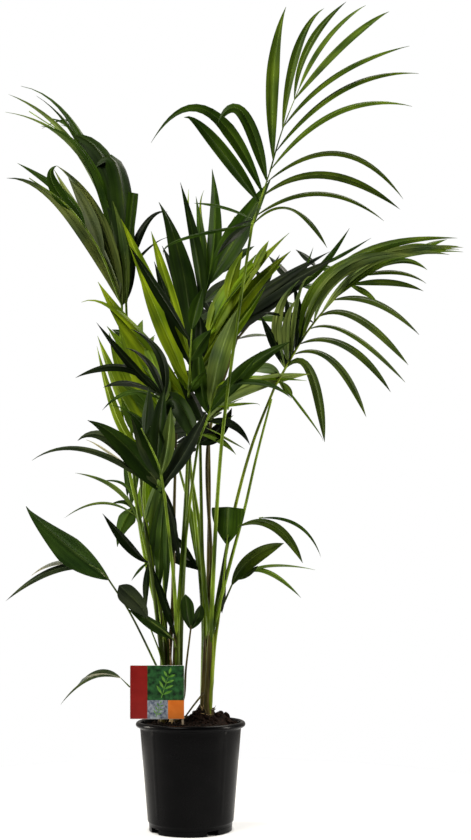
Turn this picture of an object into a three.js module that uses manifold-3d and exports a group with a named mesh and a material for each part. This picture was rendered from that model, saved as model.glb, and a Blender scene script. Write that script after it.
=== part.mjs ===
// A kentia palm in its nursery pot: seedling stems in two clumps, arching feather fronds and low
// split leaves. Millimetres, +Z up, origin at the centre of the pot's flat underside.
//
// The plant is laid out on its front elevation, the drawing of it that an eye in front sees. A place
// on that drawing is [x, z], true to size in the plane y = 0, and its depth is how far behind that
// plane it lies. The function seen() turns the two into a place in space along the line of sight.

import * as THREE from "three";
import { mergeVertices } from "three/addons/utils/BufferGeometryUtils.js";
import Module from "manifold-3d";

const wasm = await Module();
wasm.setup();

// The eye that the front elevation is drawn from.
const EYE_X = 86;
const EYE_DISTANCE = 2100;
const EYE_HEIGHT = 430;

// The gap that is left between neighbouring pieces, and round a blade, whose sheet is folded.
const GAP = 0.3;
const BLADE_GAP = 0.6;

// Corners closer than this are one corner. The slope of a blade is taken over the nudge.
const MERGE_DISTANCE = 1e-3;
const NUDGE = 1e-3;

// The pot: a tapered wall with a rolled rim, over a stepped foot that drain notches cross.
const POT_HEIGHT = 208;
const POT_WALL = 2;
const POT_SIDES = 36;
const RIM_RADIUS = 105;
const RIM_BOTTOM = 197;
const NECK_RADIUS = 97;
const STEP_RADIUS = 82.5;
const STEP_TOP = 18;
const FOOT_RADIUS = 80;
const FLOOR_HEIGHT = 9;
const RECESS_OUTSIDE = 72;
const RECESS_INSIDE = 34;
const NOTCH_COUNT = 4;
const NOTCH_SIZE = [24, 20, 12];
const NOTCH_TURN = -56;

// The soil fills the pot to just under the rim and is a little higher in the middle.
const SOIL_TOP = 206;
const SOIL_EDGE = 198;
const SOIL_FLAT_RADIUS = 66;
const SOIL_SIDES = 24;

// The plant's label: a card on a stake that is pushed into the soil.
const CARD_SIZE = [101, 1, 100];
const CARD_PLACE = [-64.5, 263];
const CARD_DEPTH = -62;
const STAKE_SIZE = [9, 1.4, 92];
const STAKE_PLACE = [-18, 223];

// Stems have ten sides and flare at the soil. Stalks taper from the stem to the blade.
const STEM_SIDES = 10;
const STEM_STEPS = 4;
const STEM_FLARE = 1.25;
const STALK_SIDES = 6;
const STALK_STEPS = 6;
const STALK_FOOT_RADIUS = 4.2;
const STALK_END_RADIUS = 2.3;
const LOW_STALK_RADIUS = 2.4;
const LOW_STALK_TAPER = 0.7;

// Blades are thickest at the rib and thin at their edges.
const RIB_THICKNESS = 3.4;
const EDGE_THICKNESS = 1.2;

// A simple leaf has this share of its length cut off at either pointed end.
const LEAF_END = 0.06;

// Stems: foot and top on the elevation, their depths and their radii there.
const STEMS = {
  stem_right_front: { foot: [33, SOIL_TOP], top: [40, 392], depth: [-8, -10], radius: [8.5, 6] },
  stem_right_back: { foot: [24, SOIL_TOP], top: [30, 372], depth: [12, 12], radius: [7.5, 5.5] },
  stem_left_front: { foot: [-30, SOIL_TOP], top: [-27, 400], depth: [-12, -16], radius: [8.5, 6] },
  stem_left_back: { foot: [-44, SOIL_TOP], top: [-49, 385], depth: [8, 8], radius: [7.5, 5.5] },
  stem_rear: { foot: [30, SOIL_TOP], top: [33, 400], depth: [42, 50], radius: [8, 5.5] },
};

// Fronds. Each stalk leaves its stem at a share of the stem's height, passes its middle places and
// carries the blade on a rib. Each side of a blade runs out from the rib to a line of tips, set off
// in depth from the rib, and its leaflets arch by the given shares of their length, at the first and
// the last pair. A frond that is split at a bend has its second blade on the first.
const FRONDS = {
  upper_right: {
    stem: "stem_right_front",
    stalk: [[43, 482], [60, 747], [91, 983]],
    rib: [[118, 1160], [133, 1205], [152, 1262]],
    depth: [-140, -112],
    left: {
      tips: [[5, 1190], [-15, 1310], [-70, 1322], [30, 1390], [85, 1390]],
      depth: -60,
      arch: [0.05, 0.15],
    },
    right: { tips: [[262, 1116], [371, 1168], [404, 1196], [408, 1216]], depth: 80, arch: [0.45, 0.25] },
    grid: [3, 8],
  },
  upper_right_top: {
    on: "upper_right",
    rib: [[152, 1262], [175, 1340], [208, 1422]],
    depth: [-112, -90],
    left: { tips: [[150, 1500], [183, 1579], [256, 1577]], depth: -60, arch: [0.1, 0] },
    right: {
      tips: [[431, 1389], [438, 1452], [420, 1504], [381, 1570], [299, 1589]],
      depth: 80,
      arch: [0.2, 0],
    },
    grid: [3, 8],
  },
  mid_right: {
    stem: "stem_right_front",
    stalk: [[62, 500], [88, 630], [121, 747]],
    rib: [[162, 851], [236, 972], [330, 1065], [430, 1108]],
    depth: [-20, 10],
    left: { tips: [[180, 925], [225, 1020], [330, 1125], [500, 1141]], depth: -110, arch: [0.1, 0.1] },
    right: { tips: [[256, 745], [385, 839], [440, 949], [525, 1115]], depth: 100, arch: [0.35, 0.1] },
    grid: [3, 9],
  },
  inner_right: {
    stem: "stem_right_back",
    stalk: [[39, 505], [34, 747]],
    rib: [[88, 940], [150, 1010], [240, 1080]],
    depth: [90, 190],
    left: { tips: [[110, 1010], [235, 1117], [305, 1150]], depth: 90, arch: [0.1, 0] },
    right: { tips: [[180, 920], [245, 970], [350, 1110]], depth: -40, arch: [0.2, 0] },
    grid: [2, 6],
  },
  centre: {
    stem: "stem_right_back",
    stalk: [[18, 571], [-3, 720]],
    rib: [[2, 915], [28, 1030], [50, 1110]],
    depth: [40, 130],
    left: { tips: [[-50, 1120], [-60, 1203], [-18, 1243], [41, 1268]], depth: -30, arch: [0.05, 0] },
    right: { tips: [[90, 1100], [110, 1190], [150, 1245]], depth: 80, arch: [0, 0] },
    grid: [2, 6],
  },
  centre_right: {
    stem: "stem_right_front",
    stalk: [[24, 494], [20, 638], [18, 747]],
    rib: [[14, 880], [50, 985], [120, 1075]],
    depth: [-10, -50],
    left: { tips: [[40, 1050], [110, 1120], [170, 1148]], depth: -20, arch: [0, 0] },
    right: { tips: [[60, 940], [140, 1060], [196, 1111]], depth: 60, arch: [0.1, 0] },
    grid: [2, 6],
  },
  front_centre: {
    stem: "stem_left_front",
    stalk: [[-14, 520], [0, 640]],
    rib: [[14, 740], [36, 800], [50, 850]],
    depth: [-40, -50],
    left: { tips: [[-62, 782], [-20, 840], [10, 900]], depth: -120, arch: [0.3, 0] },
    right: { tips: [[105, 735], [135, 812], [220, 862], [187, 938], [100, 905]], depth: 60, arch: [0.2, 0] },
    grid: [2, 7],
  },
  left_bright: {
    stem: "stem_left_front",
    stalk: [[-15, 549], [-7, 692]],
    rib: [[-4, 824], [-2, 890], [2, 960]],
    depth: [-30, -120],
    left: { tips: [[-150, 940], [-176, 1062], [-120, 1140], [-74, 1149]], depth: -80, arch: [0.1, 0] },
    right: { tips: [[30, 880], [40, 960], [24, 1040]], depth: -20, arch: [0.1, 0] },
    grid: [2, 6],
  },
  left_fan: {
    stem: "stem_left_back",
    stalk: [[-80, 549], [-88, 674]],
    rib: [[-60, 760], [-70, 820], [-95, 870]],
    depth: [-60, -140],
    left: { tips: [[-135, 745], [-160, 800], [-219, 870], [-178, 950]], depth: -60, arch: [0.2, 0] },
    right: { tips: [[-20, 800], [-40, 890], [-100, 960]], depth: 40, arch: [0.1, 0] },
    grid: [2, 6],
  },
  front_fan: {
    stem: "stem_left_front",
    stalk: [[-31, 461], [-41, 560]],
    rib: [[-50, 640], [-62, 700], [-95, 770]],
    depth: [-100, -240],
    left: { tips: [[-305, 709], [-216, 747], [-197, 785]], depth: -70, arch: [0.25, 0] },
    right: { tips: [[0, 735], [-30, 830], [-110, 840]], depth: -20, arch: [0.1, 0] },
    grid: [2, 5],
  },
  left_pleated: {
    stem: "stem_left_back",
    stalk: [[-101, 611], [-121, 703], [-135, 850]],
    rib: [[-132, 1006], [-180, 1120], [-240, 1200], [-310, 1250]],
    depth: [10, -110],
    left: { tips: [[-155, 1045], [-215, 1155], [-352, 1246]], depth: -40, arch: [0, 0] },
    right: { tips: [[-138, 1090], [-190, 1205], [-257, 1268], [-326, 1278]], depth: 30, arch: [0, 0] },
    grid: [1, 6],
  },
  left_arching: {
    stem: "stem_left_back",
    stalk: [[-82, 494], [-105, 640], [-118, 850]],
    rib: [[-124, 1010], [-145, 1190], [-215, 1310], [-310, 1378]],
    depth: [50, 170],
    left: { tips: [[-140, 1080], [-165, 1220], [-240, 1320], [-357, 1377]], depth: -20, arch: [0, 0] },
    right: {
      tips: [[-110, 1110], [-105, 1223], [-150, 1298], [-250, 1390], [-326, 1424]],
      depth: 90,
      arch: [0, 0],
    },
    grid: [2, 8],
  },
  low_left: {
    stem: "stem_left_front",
    leaves: 0.15,
    stalk: [[-68, 318], [-118, 418]],
    rib: [[-158, 480], [-185, 503], [-205, 512]],
    depth: [-50, -80],
    left: { tips: [[-356, 435], [-348, 443]], depth: -60, arch: [0.25, 0.3] },
    right: { tips: [[-312, 622], [-318, 614]], depth: 20, arch: [-0.15, 0.05] },
    grid: [3, 2],
  },
  low_left_small: {
    stem: "stem_left_back",
    leaves: 0.08,
    stalk: [[-85, 262]],
    rib: [[-118, 274], [-155, 300], [-205, 283], [-251, 240]],
    depth: [-30, -70],
    width: 24,
    grid: [1, 6],
  },
  low_front_left: {
    stem: "stem_left_front",
    leaves: 0.72,
    stalk: [[-30, 352]],
    rib: [[-33, 364], [-70, 394], [-104, 428], [-134, 466]],
    depth: [-40, -80],
    width: 44,
    grid: [1, 5],
  },
  low_middle: {
    stem: "stem_left_front",
    leaves: 0.06,
    stalk: [[-14, 250], [-9, 310]],
    rib: [[0, 384], [0, 392], [1, 398]],
    depth: [-30, -34],
    left: { tips: [[-14, 440], [-6, 451]], depth: -10, arch: [0.1, 0] },
    right: { tips: [[26, 424], [21, 432]], depth: 10, arch: [0, 0.1] },
    grid: [2, 2],
  },
  low_dark_left: {
    stem: "stem_left_back",
    leaves: 0.95,
    stalk: [[-66, 470]],
    rib: [[-80, 514], [-120, 558], [-167, 603]],
    depth: [-14, -50],
    width: 22,
    grid: [1, 4],
  },
  thin_left: {
    stem: "stem_left_back",
    stalk: [[-74, 500]],
    rib: [[-100, 590], [-110, 615], [-122, 640]],
    depth: [70, 90],
    left: { tips: [[-247, 592], [-250, 640], [-237, 682]], depth: 10, arch: [0.25, 0.15] },
    right: { tips: [[-70, 610], [-80, 650], [-95, 690]], depth: 60, arch: [0.1, 0.1] },
    grid: [2, 3],
  },
  hanging_left: {
    on: "thin_left",
    rib: [[-111, 617], [-134, 588], [-140, 545]],
    depth: [79, 45],
    width: 30,
    grid: [1, 4],
  },
  cup_right: {
    stem: "stem_right_front",
    leaves: 0.85,
    stalk: [[58, 440]],
    rib: [[69, 548], [73, 575], [76, 604]],
    depth: [-50, -80],
    left: { tips: [[62, 560], [48, 590], [43, 614]], depth: -20, arch: [0, 0] },
    right: { tips: [[77, 558], [94, 585], [104, 612]], depth: -10, arch: [0, 0] },
    grid: [1, 3],
  },
  droop_right: {
    on: "cup_right",
    rib: [[90, 580], [131, 595], [184, 572], [214, 513]],
    depth: [-74, -110],
    width: 17,
    grid: [1, 6],
  },
  droop_right_thin: {
    on: "droop_right",
    rib: [[131, 597], [175, 596], [220, 571], [249, 524]],
    depth: [-86, -60],
    width: 8,
    grid: [1, 5],
  },
  low_right: {
    stem: "stem_right_front",
    leaves: 0.95,
    stalk: [[62, 430]],
    rib: [[79, 469], [98, 482], [118, 490]],
    depth: [20, 50],
    left: { tips: [[172, 550], [178, 544]], depth: -20, arch: [-0.25, -0.05] },
    right: { tips: [[212, 443], [237, 500]], depth: 60, arch: [0.35, 0.1] },
    grid: [3, 3],
  },
  low_inner: {
    stem: "stem_right_back",
    stalk: [[28, 440]],
    rib: [[20, 496], [-22, 514], [-66, 532]],
    depth: [30, 60],
    width: 28,
    grid: [1, 4],
  },
  rear_left: {
    stem: "stem_left_back",
    stalk: [[-52, 520], [-60, 640]],
    rib: [[-70, 770], [-90, 870], [-105, 930]],
    depth: [150, 330],
    left: { tips: [[-140, 800], [-150, 880], [-140, 960]], depth: -60, arch: [0.2, 0] },
    right: { tips: [[-30, 820], [-50, 900], [-80, 980]], depth: 60, arch: [0.1, 0] },
    grid: [2, 5],
  },
  rear_right: {
    stem: "stem_rear",
    stalk: [[34, 520], [36, 660]],
    rib: [[34, 790], [36, 900], [44, 980]],
    depth: [160, 380],
    left: { tips: [[-30, 820], [-30, 930], [10, 1040]], depth: 60, arch: [0.2, 0] },
    right: { tips: [[60, 820], [70, 960], [80, 1060]], depth: -70, arch: [0.1, 0] },
    grid: [2, 5],
  },
  rear_low: {
    stem: "stem_rear",
    stalk: [[20, 540], [-5, 630]],
    rib: [[-30, 720], [-50, 770], [-60, 790]],
    depth: [150, 320],
    left: { tips: [[-90, 720], [-110, 760], [-100, 810]], depth: 40, arch: [0.2, 0] },
    right: { tips: [[20, 740], [10, 800], [-20, 850]], depth: 60, arch: [0.2, 0] },
    grid: [2, 4],
  },
};

// The surface colours, with how rough each surface is.
const MATERIALS = {
  pot: finish(0x1d1b1a, 0.35),
  soil: finish(0x2e2119, 0.95),
  card: finish(0x3f6b45, 0.4),
  stake: finish(0xcfc8b4, 0.6),
  stem: finish(0x5d5a30, 0.7),
  stalk: finish(0x6f8a2c, 0.45),
  blade: finish(0x35541c, 0.45),
};

function finish(color, roughness) {
  return new THREE.MeshStandardMaterial({ color, roughness, metalness: 0 });
}

// The place in space of a place on the front elevation, held as x, z and depth.
function seen({ x, y: z, z: depth }) {
  const reach = (EYE_DISTANCE + depth) / EYE_DISTANCE;
  return new THREE.Vector3(EYE_X + (x - EYE_X) * reach, depth, EYE_HEIGHT + (z - EYE_HEIGHT) * reach);
}

// Elevation places as vectors of x, z and depth, the depth running evenly from first to last.
function places(list, [firstDepth, lastDepth]) {
  return list.map(([x, z], index) => {
    const share = index / (list.length - 1);
    return new THREE.Vector3(x, z, THREE.MathUtils.lerp(firstDepth, lastDepth, share));
  });
}

function smooth(points) {
  return new THREE.CatmullRomCurve3(points, false, "centripetal");
}

// A closed round limb along a route. Its radius follows the share of the way, and grow makes it
// fatter and longer all round.
function limb(route, radiusAt, sides, steps, grow) {
  const geometry = new THREE.CylinderGeometry(1, 1, 1, sides, steps);
  const frames = route.computeFrenetFrames(steps);
  const corners = geometry.getAttribute("position");
  for (let index = 0; index < corners.count; index += 1) {
    const share = corners.getY(index) + 0.5;
    const step = Math.round(share * steps);
    const radius = radiusAt(share) + grow;
    const end = Number(step === steps) - Number(step === 0);
    const place = route.getPointAt(share);
    place.addScaledVector(frames.normals[step], corners.getX(index) * radius);
    place.addScaledVector(frames.binormals[step], -corners.getZ(index) * radius);
    place.addScaledVector(frames.tangents[step], end * grow);
    corners.setXYZ(index, place.x, place.y, place.z);
  }
  return geometry;
}

// A manifold-3d solid of a closed geometry.
function solid(geometry) {
  const bare = new THREE.BufferGeometry();
  bare.setAttribute("position", geometry.getAttribute("position"));
  bare.setIndex(geometry.getIndex());
  const merged = mergeVertices(bare, MERGE_DISTANCE);
  const mesh = new wasm.Mesh({
    numProp: 3,
    vertProperties: merged.getAttribute("position").array,
    triVerts: new Uint32Array(merged.getIndex().array),
  });
  return new wasm.Manifold(mesh);
}

// The largest single body of a solid, as a geometry.
function largestBody(shape) {
  const bodies = shape.decompose().sort((one, other) => other.volume() - one.volume());
  const mesh = bodies[0].getMesh();
  const geometry = new THREE.BufferGeometry();
  geometry.setAttribute("position", new THREE.BufferAttribute(Float32Array.from(mesh.vertProperties), 3));
  geometry.setIndex(Array.from(mesh.triVerts));
  return geometry;
}

// A profile of [radius, height] corners turned round the pot's axis.
function turned(profile, sides) {
  const corners = profile.map(([radius, height]) => new THREE.Vector2(radius, height));
  return new THREE.LatheGeometry(corners, sides).rotateX(Math.PI / 2);
}

function box([width, depth, height], x, y, z) {
  return new THREE.BoxGeometry(width, depth, height).translate(x, y, z);
}

// The outer radius of the pot's wall at a height.
function wallRadius(height) {
  const share = (height - STEP_TOP) / (RIM_BOTTOM - STEP_TOP);
  return THREE.MathUtils.lerp(STEP_RADIUS, NECK_RADIUS, share);
}

function potShape() {
  const lip = RIM_RADIUS - NECK_RADIUS;
  const lipBottom = POT_HEIGHT - POT_WALL;
  const shell = turned(
    [
      [0, 0],
      [RECESS_INSIDE, 0],
      [RECESS_INSIDE, FLOOR_HEIGHT - POT_WALL],
      [RECESS_OUTSIDE, FLOOR_HEIGHT - POT_WALL],
      [RECESS_OUTSIDE, 0],
      [FOOT_RADIUS, 0],
      [FOOT_RADIUS, STEP_TOP - POT_WALL],
      [wallRadius(STEP_TOP), STEP_TOP],
      [wallRadius(RIM_BOTTOM), RIM_BOTTOM],
      [RIM_RADIUS - lip / 4, RIM_BOTTOM],
      [RIM_RADIUS, RIM_BOTTOM + lip / 3],
      [RIM_RADIUS, POT_HEIGHT - lip / 3],
      [RIM_RADIUS - lip / 3, POT_HEIGHT],
      [NECK_RADIUS + POT_WALL / 2, POT_HEIGHT],
      [wallRadius(lipBottom) - POT_WALL, lipBottom],
      [wallRadius(STEP_TOP) - POT_WALL, STEP_TOP],
      [FOOT_RADIUS - POT_WALL, FLOOR_HEIGHT],
      [0, FLOOR_HEIGHT],
    ],
    POT_SIDES,
  );
  let shape = solid(shell);
  for (let index = 0; index < NOTCH_COUNT; index += 1) {
    const turn = THREE.MathUtils.degToRad(NOTCH_TURN) + (index * 2 * Math.PI) / NOTCH_COUNT;
    const notch = box(NOTCH_SIZE, FOOT_RADIUS, 0, 0).rotateZ(turn);
    shape = shape.subtract(solid(notch));
  }
  return shape;
}

function soilGeometry(grow) {
  const clear = (radius) => (radius - POT_WALL) * Math.cos(Math.PI / POT_SIDES) - 2 * GAP;
  return turned(
    [
      [0, FLOOR_HEIGHT + GAP],
      [clear(FOOT_RADIUS), FLOOR_HEIGHT + GAP],
      [clear(wallRadius(STEP_TOP)), STEP_TOP],
      [clear(wallRadius(SOIL_EDGE)), SOIL_EDGE + grow],
      [SOIL_FLAT_RADIUS, SOIL_TOP + grow],
      [0, SOIL_TOP + grow],
    ],
    SOIL_SIDES,
  );
}

function cardGeometry() {
  const centre = seen(new THREE.Vector3(CARD_PLACE[0], CARD_PLACE[1], CARD_DEPTH));
  return box(CARD_SIZE, centre.x, centre.y, centre.z);
}

function stakeGeometry(grow) {
  const depth = CARD_DEPTH + (CARD_SIZE[1] + STAKE_SIZE[1]) / 2 + GAP;
  const centre = seen(new THREE.Vector3(STAKE_PLACE[0], STAKE_PLACE[1], depth));
  const size = STAKE_SIZE.map((side) => side + 2 * grow);
  return box(size, centre.x, centre.y, centre.z);
}

function stemGeometry(stem, grow) {
  const [foot, top] = places([stem.foot, stem.top], stem.depth).map(seen);
  foot.z = SOIL_TOP + GAP;
  const radiusAt = (share) => {
    const flare = share === 0 ? STEM_FLARE : 1;
    return THREE.MathUtils.lerp(stem.radius[0], stem.radius[1], share) * flare;
  };
  return limb(new THREE.LineCurve3(foot, top), radiusAt, STEM_SIDES, STEM_STEPS, grow);
}

// A stalk, from inside its stem to the blade's collar.
function stalkGeometry(frond, grow) {
  const stem = STEMS[frond.stem];
  const leaves = frond.leaves ?? 1;
  const [foot, top] = places([stem.foot, stem.top], stem.depth);
  const start = foot.lerp(top, leaves);
  const route = places([[start.x, start.y], ...frond.stalk, frond.rib[0]], [start.z, frond.depth[0]]);
  const footRadius = leaves < 1 ? LOW_STALK_RADIUS : STALK_FOOT_RADIUS;
  const endRadius = leaves < 1 ? LOW_STALK_RADIUS * LOW_STALK_TAPER : STALK_END_RADIUS;
  const radiusAt = (share) => THREE.MathUtils.lerp(footRadius, endRadius, share);
  return limb(smooth(route.map(seen)), radiusAt, STALK_SIDES, STALK_STEPS, grow);
}

// A place on a simple leaf, which is widest at its middle and pointed at both ends.
function leafPlace(frond, across, along) {
  const rib = smooth(places(frond.rib, frond.depth));
  const place = rib.getPoint(along);
  const course = rib.getTangent(along);
  const turn = Math.PI * THREE.MathUtils.lerp(LEAF_END, 1 - LEAF_END, along);
  const halfWidth = (frond.width / 2) * Math.sin(turn);
  const length = Math.hypot(course.x, course.y);
  place.x += (course.y / length) * across * halfWidth;
  place.y -= (course.x / length) * across * halfWidth;
  return seen(place);
}

// A place on a blade: across runs from the left tips (-1) over the rib (0) to the right tips (1),
// and along runs from the collar (0) to the rib's end (1).
function bladePlace(frond, across, along) {
  if (frond.width) return leafPlace(frond, across, along);
  const side = across < 0 ? frond.left : frond.right;
  const root = smooth(places(frond.rib, frond.depth)).getPoint(along);
  const tip = smooth(places(side.tips, [0, 0])).getPoint(along);
  tip.z = root.z + side.depth;
  const arch = THREE.MathUtils.lerp(side.arch[0], side.arch[1], along) * Math.sign(across);
  const bend = root.clone().lerp(tip, 0.5);
  bend.x -= arch * (tip.y - root.y);
  bend.y += arch * (tip.x - root.x);
  const leaflet = new THREE.QuadraticBezierCurve3(root, bend, tip);
  return seen(leaflet.getPoint(Math.abs(across)));
}

// A box whose back has its squares split along the same diagonals as its front, so that it keeps its
// thickness where it is bent into a twisted sheet.
function sheetBox(columns, rows) {
  const geometry = new THREE.BoxGeometry(2, 1, 2, columns, rows, 1);
  const order = geometry.getIndex().array;
  const back = geometry.groups[5];
  for (let start = back.start; start < back.start + back.count; start += 6) {
    const [above, below, besideAbove, , beside] = order.slice(start, start + 6);
    order.set([above, below, beside, above, beside, besideAbove], start);
  }
  return geometry;
}

// A blade: a thin closed sheet over the rib. The box's width is laid across the blade, its height
// along the rib and its depth through the sheet.
function bladeGeometry(frond, grow) {
  const [columns, rows] = frond.grid;
  const geometry = sheetBox(2 * columns, rows);
  const corners = geometry.getAttribute("position");
  for (let index = 0; index < corners.count; index += 1) {
    const across = corners.getX(index);
    const along = corners.getY(index) + 0.5;
    const left = bladePlace(frond, Math.max(across - NUDGE, -1), along);
    const right = bladePlace(frond, Math.min(across + NUDGE, 1), along);
    const before = bladePlace(frond, across, Math.max(along - NUDGE, 0));
    const after = bladePlace(frond, across, Math.min(along + NUDGE, 1));
    const outward = right.sub(left).normalize();
    const onward = after.sub(before).normalize();
    const through = outward.clone().cross(onward).normalize();
    const thickness = THREE.MathUtils.lerp(RIB_THICKNESS, EDGE_THICKNESS, Math.abs(across));
    const side = Math.trunc(across);
    const end = Number(along === 1) - Number(along === 0);
    const place = bladePlace(frond, across, along);
    place.addScaledVector(through, corners.getZ(index) * (thickness / 2 + grow));
    place.addScaledVector(outward, side * grow);
    place.addScaledVector(onward, end * grow);
    corners.setXYZ(index, place.x, place.y, place.z);
  }
  return geometry;
}

// The group, and the pieces that are already in it, each with its gap round it.
const palm = new THREE.Group();
const placed = [];

function addMesh(name, geometry, material) {
  const mesh = new THREE.Mesh(geometry, material);
  mesh.name = name;
  palm.add(mesh);
}

// Adds a piece, cut back where it would touch a piece that is already there.
function addClear(name, make, material, gap = GAP) {
  const room = new THREE.Box3().setFromBufferAttribute(make(0).getAttribute("position"));
  let shape = solid(make(0));
  for (const other of placed) {
    if (other.room.intersectsBox(room)) {
      shape = shape.subtract(other.shape);
    }
  }
  addMesh(name, largestBody(shape), material);
  placed.push({ shape: solid(make(gap)), room: room.expandByScalar(1) });
}

addMesh("pot", largestBody(potShape()), MATERIALS.pot);
addMesh("label_card", cardGeometry(), MATERIALS.card);
addClear("label_stake", stakeGeometry, MATERIALS.stake);
addClear("soil", soilGeometry, MATERIALS.soil);
for (const [name, stem] of Object.entries(STEMS)) {
  addClear(name, (grow) => stemGeometry(stem, grow), MATERIALS.stem);
}
for (const [name, frond] of Object.entries(FRONDS)) {
  if (frond.stem) {
    addClear(`stalk_${name}`, (grow) => stalkGeometry(frond, grow), MATERIALS.stalk);
  }
}
for (const [name, frond] of Object.entries(FRONDS)) {
  addClear(`frond_${name}`, (grow) => bladeGeometry(frond, grow), MATERIALS.blade, BLADE_GAP);
}

export default palm;
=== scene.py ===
"""A kentia palm in its nursery pot: the looks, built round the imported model.

Shapes are worked out in millimetres and made in metres. A place on the front elevation is (x, z), true to
size in the plane y = 0, and its depth is how far behind that plane it lies, as in the CAD source.
"""

import math

import bmesh
import bpy
import numpy as np
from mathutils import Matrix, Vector, noise


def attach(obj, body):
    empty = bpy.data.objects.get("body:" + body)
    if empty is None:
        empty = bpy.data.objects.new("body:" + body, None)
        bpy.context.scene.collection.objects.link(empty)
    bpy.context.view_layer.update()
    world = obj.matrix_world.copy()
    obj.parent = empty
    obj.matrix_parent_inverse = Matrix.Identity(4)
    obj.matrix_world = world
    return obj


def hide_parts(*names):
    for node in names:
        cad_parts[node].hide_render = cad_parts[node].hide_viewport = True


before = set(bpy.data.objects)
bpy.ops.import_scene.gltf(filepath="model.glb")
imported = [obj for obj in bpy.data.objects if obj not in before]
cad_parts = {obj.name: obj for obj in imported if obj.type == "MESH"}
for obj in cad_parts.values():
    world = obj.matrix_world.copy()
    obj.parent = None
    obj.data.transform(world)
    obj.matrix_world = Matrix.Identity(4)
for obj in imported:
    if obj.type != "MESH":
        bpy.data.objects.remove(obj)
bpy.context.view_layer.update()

MM = 0.001
SEED = 7
UP = np.array([0.0, 0.0, 1.0])
FULL_TURN = 2 * math.pi

# The eye that the front elevation is drawn from, which is also the camera.
EYE = np.array([86.0, -2100.0, 430.0])
LENS_MM = 46.875
SENSOR_MM = 36.0
SHIFT_UP = 0.2205

# The studio: the floor, the world's glow towards the front and the back, and the colour of the light.
FLOOR_RADIUS = 0.95
FLOOR_GLOW = 0.5
WORLD_FRONT = 0.06
WORLD_BACK = 0.42
WARM = (1, 0.95, 0.86)

# The pot: as in the CAD source, but for its floor and the recess under its foot, which lie 3 mm higher.
# A profile ends on the pot's axis at a very small radius.
POT_HEIGHT = 208.0
POT_WALL = 2.0
RIM_RADIUS = 105.0
RIM_BOTTOM = 197.0
NECK_RADIUS = 97.0
STEP_RADIUS = 82.5
STEP_TOP = 18.0
FOOT_RADIUS = 80.0
FLOOR_HEIGHT = 12.0
RECESS_OUTSIDE = 72.0
RECESS_INSIDE = 34.0
RECESS_TOP = 10.0
NOTCH_COUNT = 4
NOTCH_HALF_TURN = math.radians(9)
NOTCH_TURN = math.radians(34)
POT_SIDES = 160
POT_RIB_TURN = math.radians(45)
POT_RIB_WIDTH = 1.6
POT_RIB_HEIGHT = 0.7
POT_RIB_BOTTOM = 30
AXIS = 0.01

# The soil: its surface, its crumbs by height, size and layer of noise, its clods, and the heaps on it by
# their places, heights and reaches.
SOIL_TOP = 206.0
SOIL_EDGE = 198.0
SOIL_FLAT_RADIUS = 66.0
SOIL_RADIUS = 93.0
SOIL_FOOT_RADIUS = STEP_RADIUS - 5
SOIL_SIDES = 120
SOIL_RINGS = 44
CRUMBS = ((2.6, 16, 3), (1.7, 6, 9))
CLODS = 420
CLOD_UNEVENNESS = 0.45
HEAPS = ((60.0, 8.0, 16.0, 22.0), (19.0, -6.0, 25.0, 21.0))

# The label: card and stake as in the CAD source, and the card's inks with the size of their patches.
CARD_WIDTH = 101.0
CARD_HEIGHT = 100.0
CARD_THICKNESS = 1.0
CARD_PLACE = (-64.5, 263, -62)
CARD_CORNER = 3.0
STAKE_SIZE = (9.0, 1.4, 92.0)
STAKE_PLACE = (-18, 223, -60.5)
PRINT_CORNER = 0.4
PRINT_THICKNESS = 0.08
PRINT_MARGIN = 0.4
SPRIG_LEAN = math.radians(72)
SPRIG_LEAF_TURN = math.radians(50)
SPRIG_STEM = 0.8
INKS = {
    "picture": ("#08200e", "#2a5e30", 9),
    "band": ("#7c120e", "#8a1812", 25),
    "block": ("#cf6a1c", "#dd7d2a", 25),
    "dusk": ("#38445c", "#a2aab4", 7),
    "motif": ("#447a22", "#6e9c40", 8),
}

# Stems: foot and top on the elevation, their depths and their radii there.
STEMS = {
    "right_front": ((33, SOIL_TOP), (40, 392), (-8, -10), (8.5, 6)),
    "right_back": ((24, SOIL_TOP), (30, 372), (12, 12), (7.5, 5.5)),
    "left_front": ((-30, SOIL_TOP), (-27, 400), (-12, -16), (8.5, 6)),
    "left_back": ((-44, SOIL_TOP), (-49, 385), (8, 8), (7.5, 5.5)),
    "rear": ((30, SOIL_TOP), (33, 400), (42, 50), (8, 5.5)),
}

# Stems, stalks and ribs: how finely they are made, their radii, and what grows at each stem's foot. A slim
# stalk or rib is one of a frond that leaves its stem below the top.
STEM_STEPS = 34
STEM_SIDES = 28
STEM_FLARE = 0.12
BARK_RELIEF = 0.09
WRAP_STEPS = 24
WRAP_TURN = 1.26
STALK_STEPS = 40
STALK_SIDES = 12
STALK_GROOVE = 0.16
STALK_RADII = (5.0, 2.4)
SLIM_STALK_RADII = (2.5, 1.7)
RIB_STEPS = 14
RIB_RADIUS = 2.5
SLIM_RIB_RADIUS = 1.6
RIB_TIP = 0.42
LIMB_SIDES = 10
LIMB_TILT = 0.3
CURVE_STEPS = 24
PROP_ROOTS = 16
SHEATH_FLAPS = 15

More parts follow.
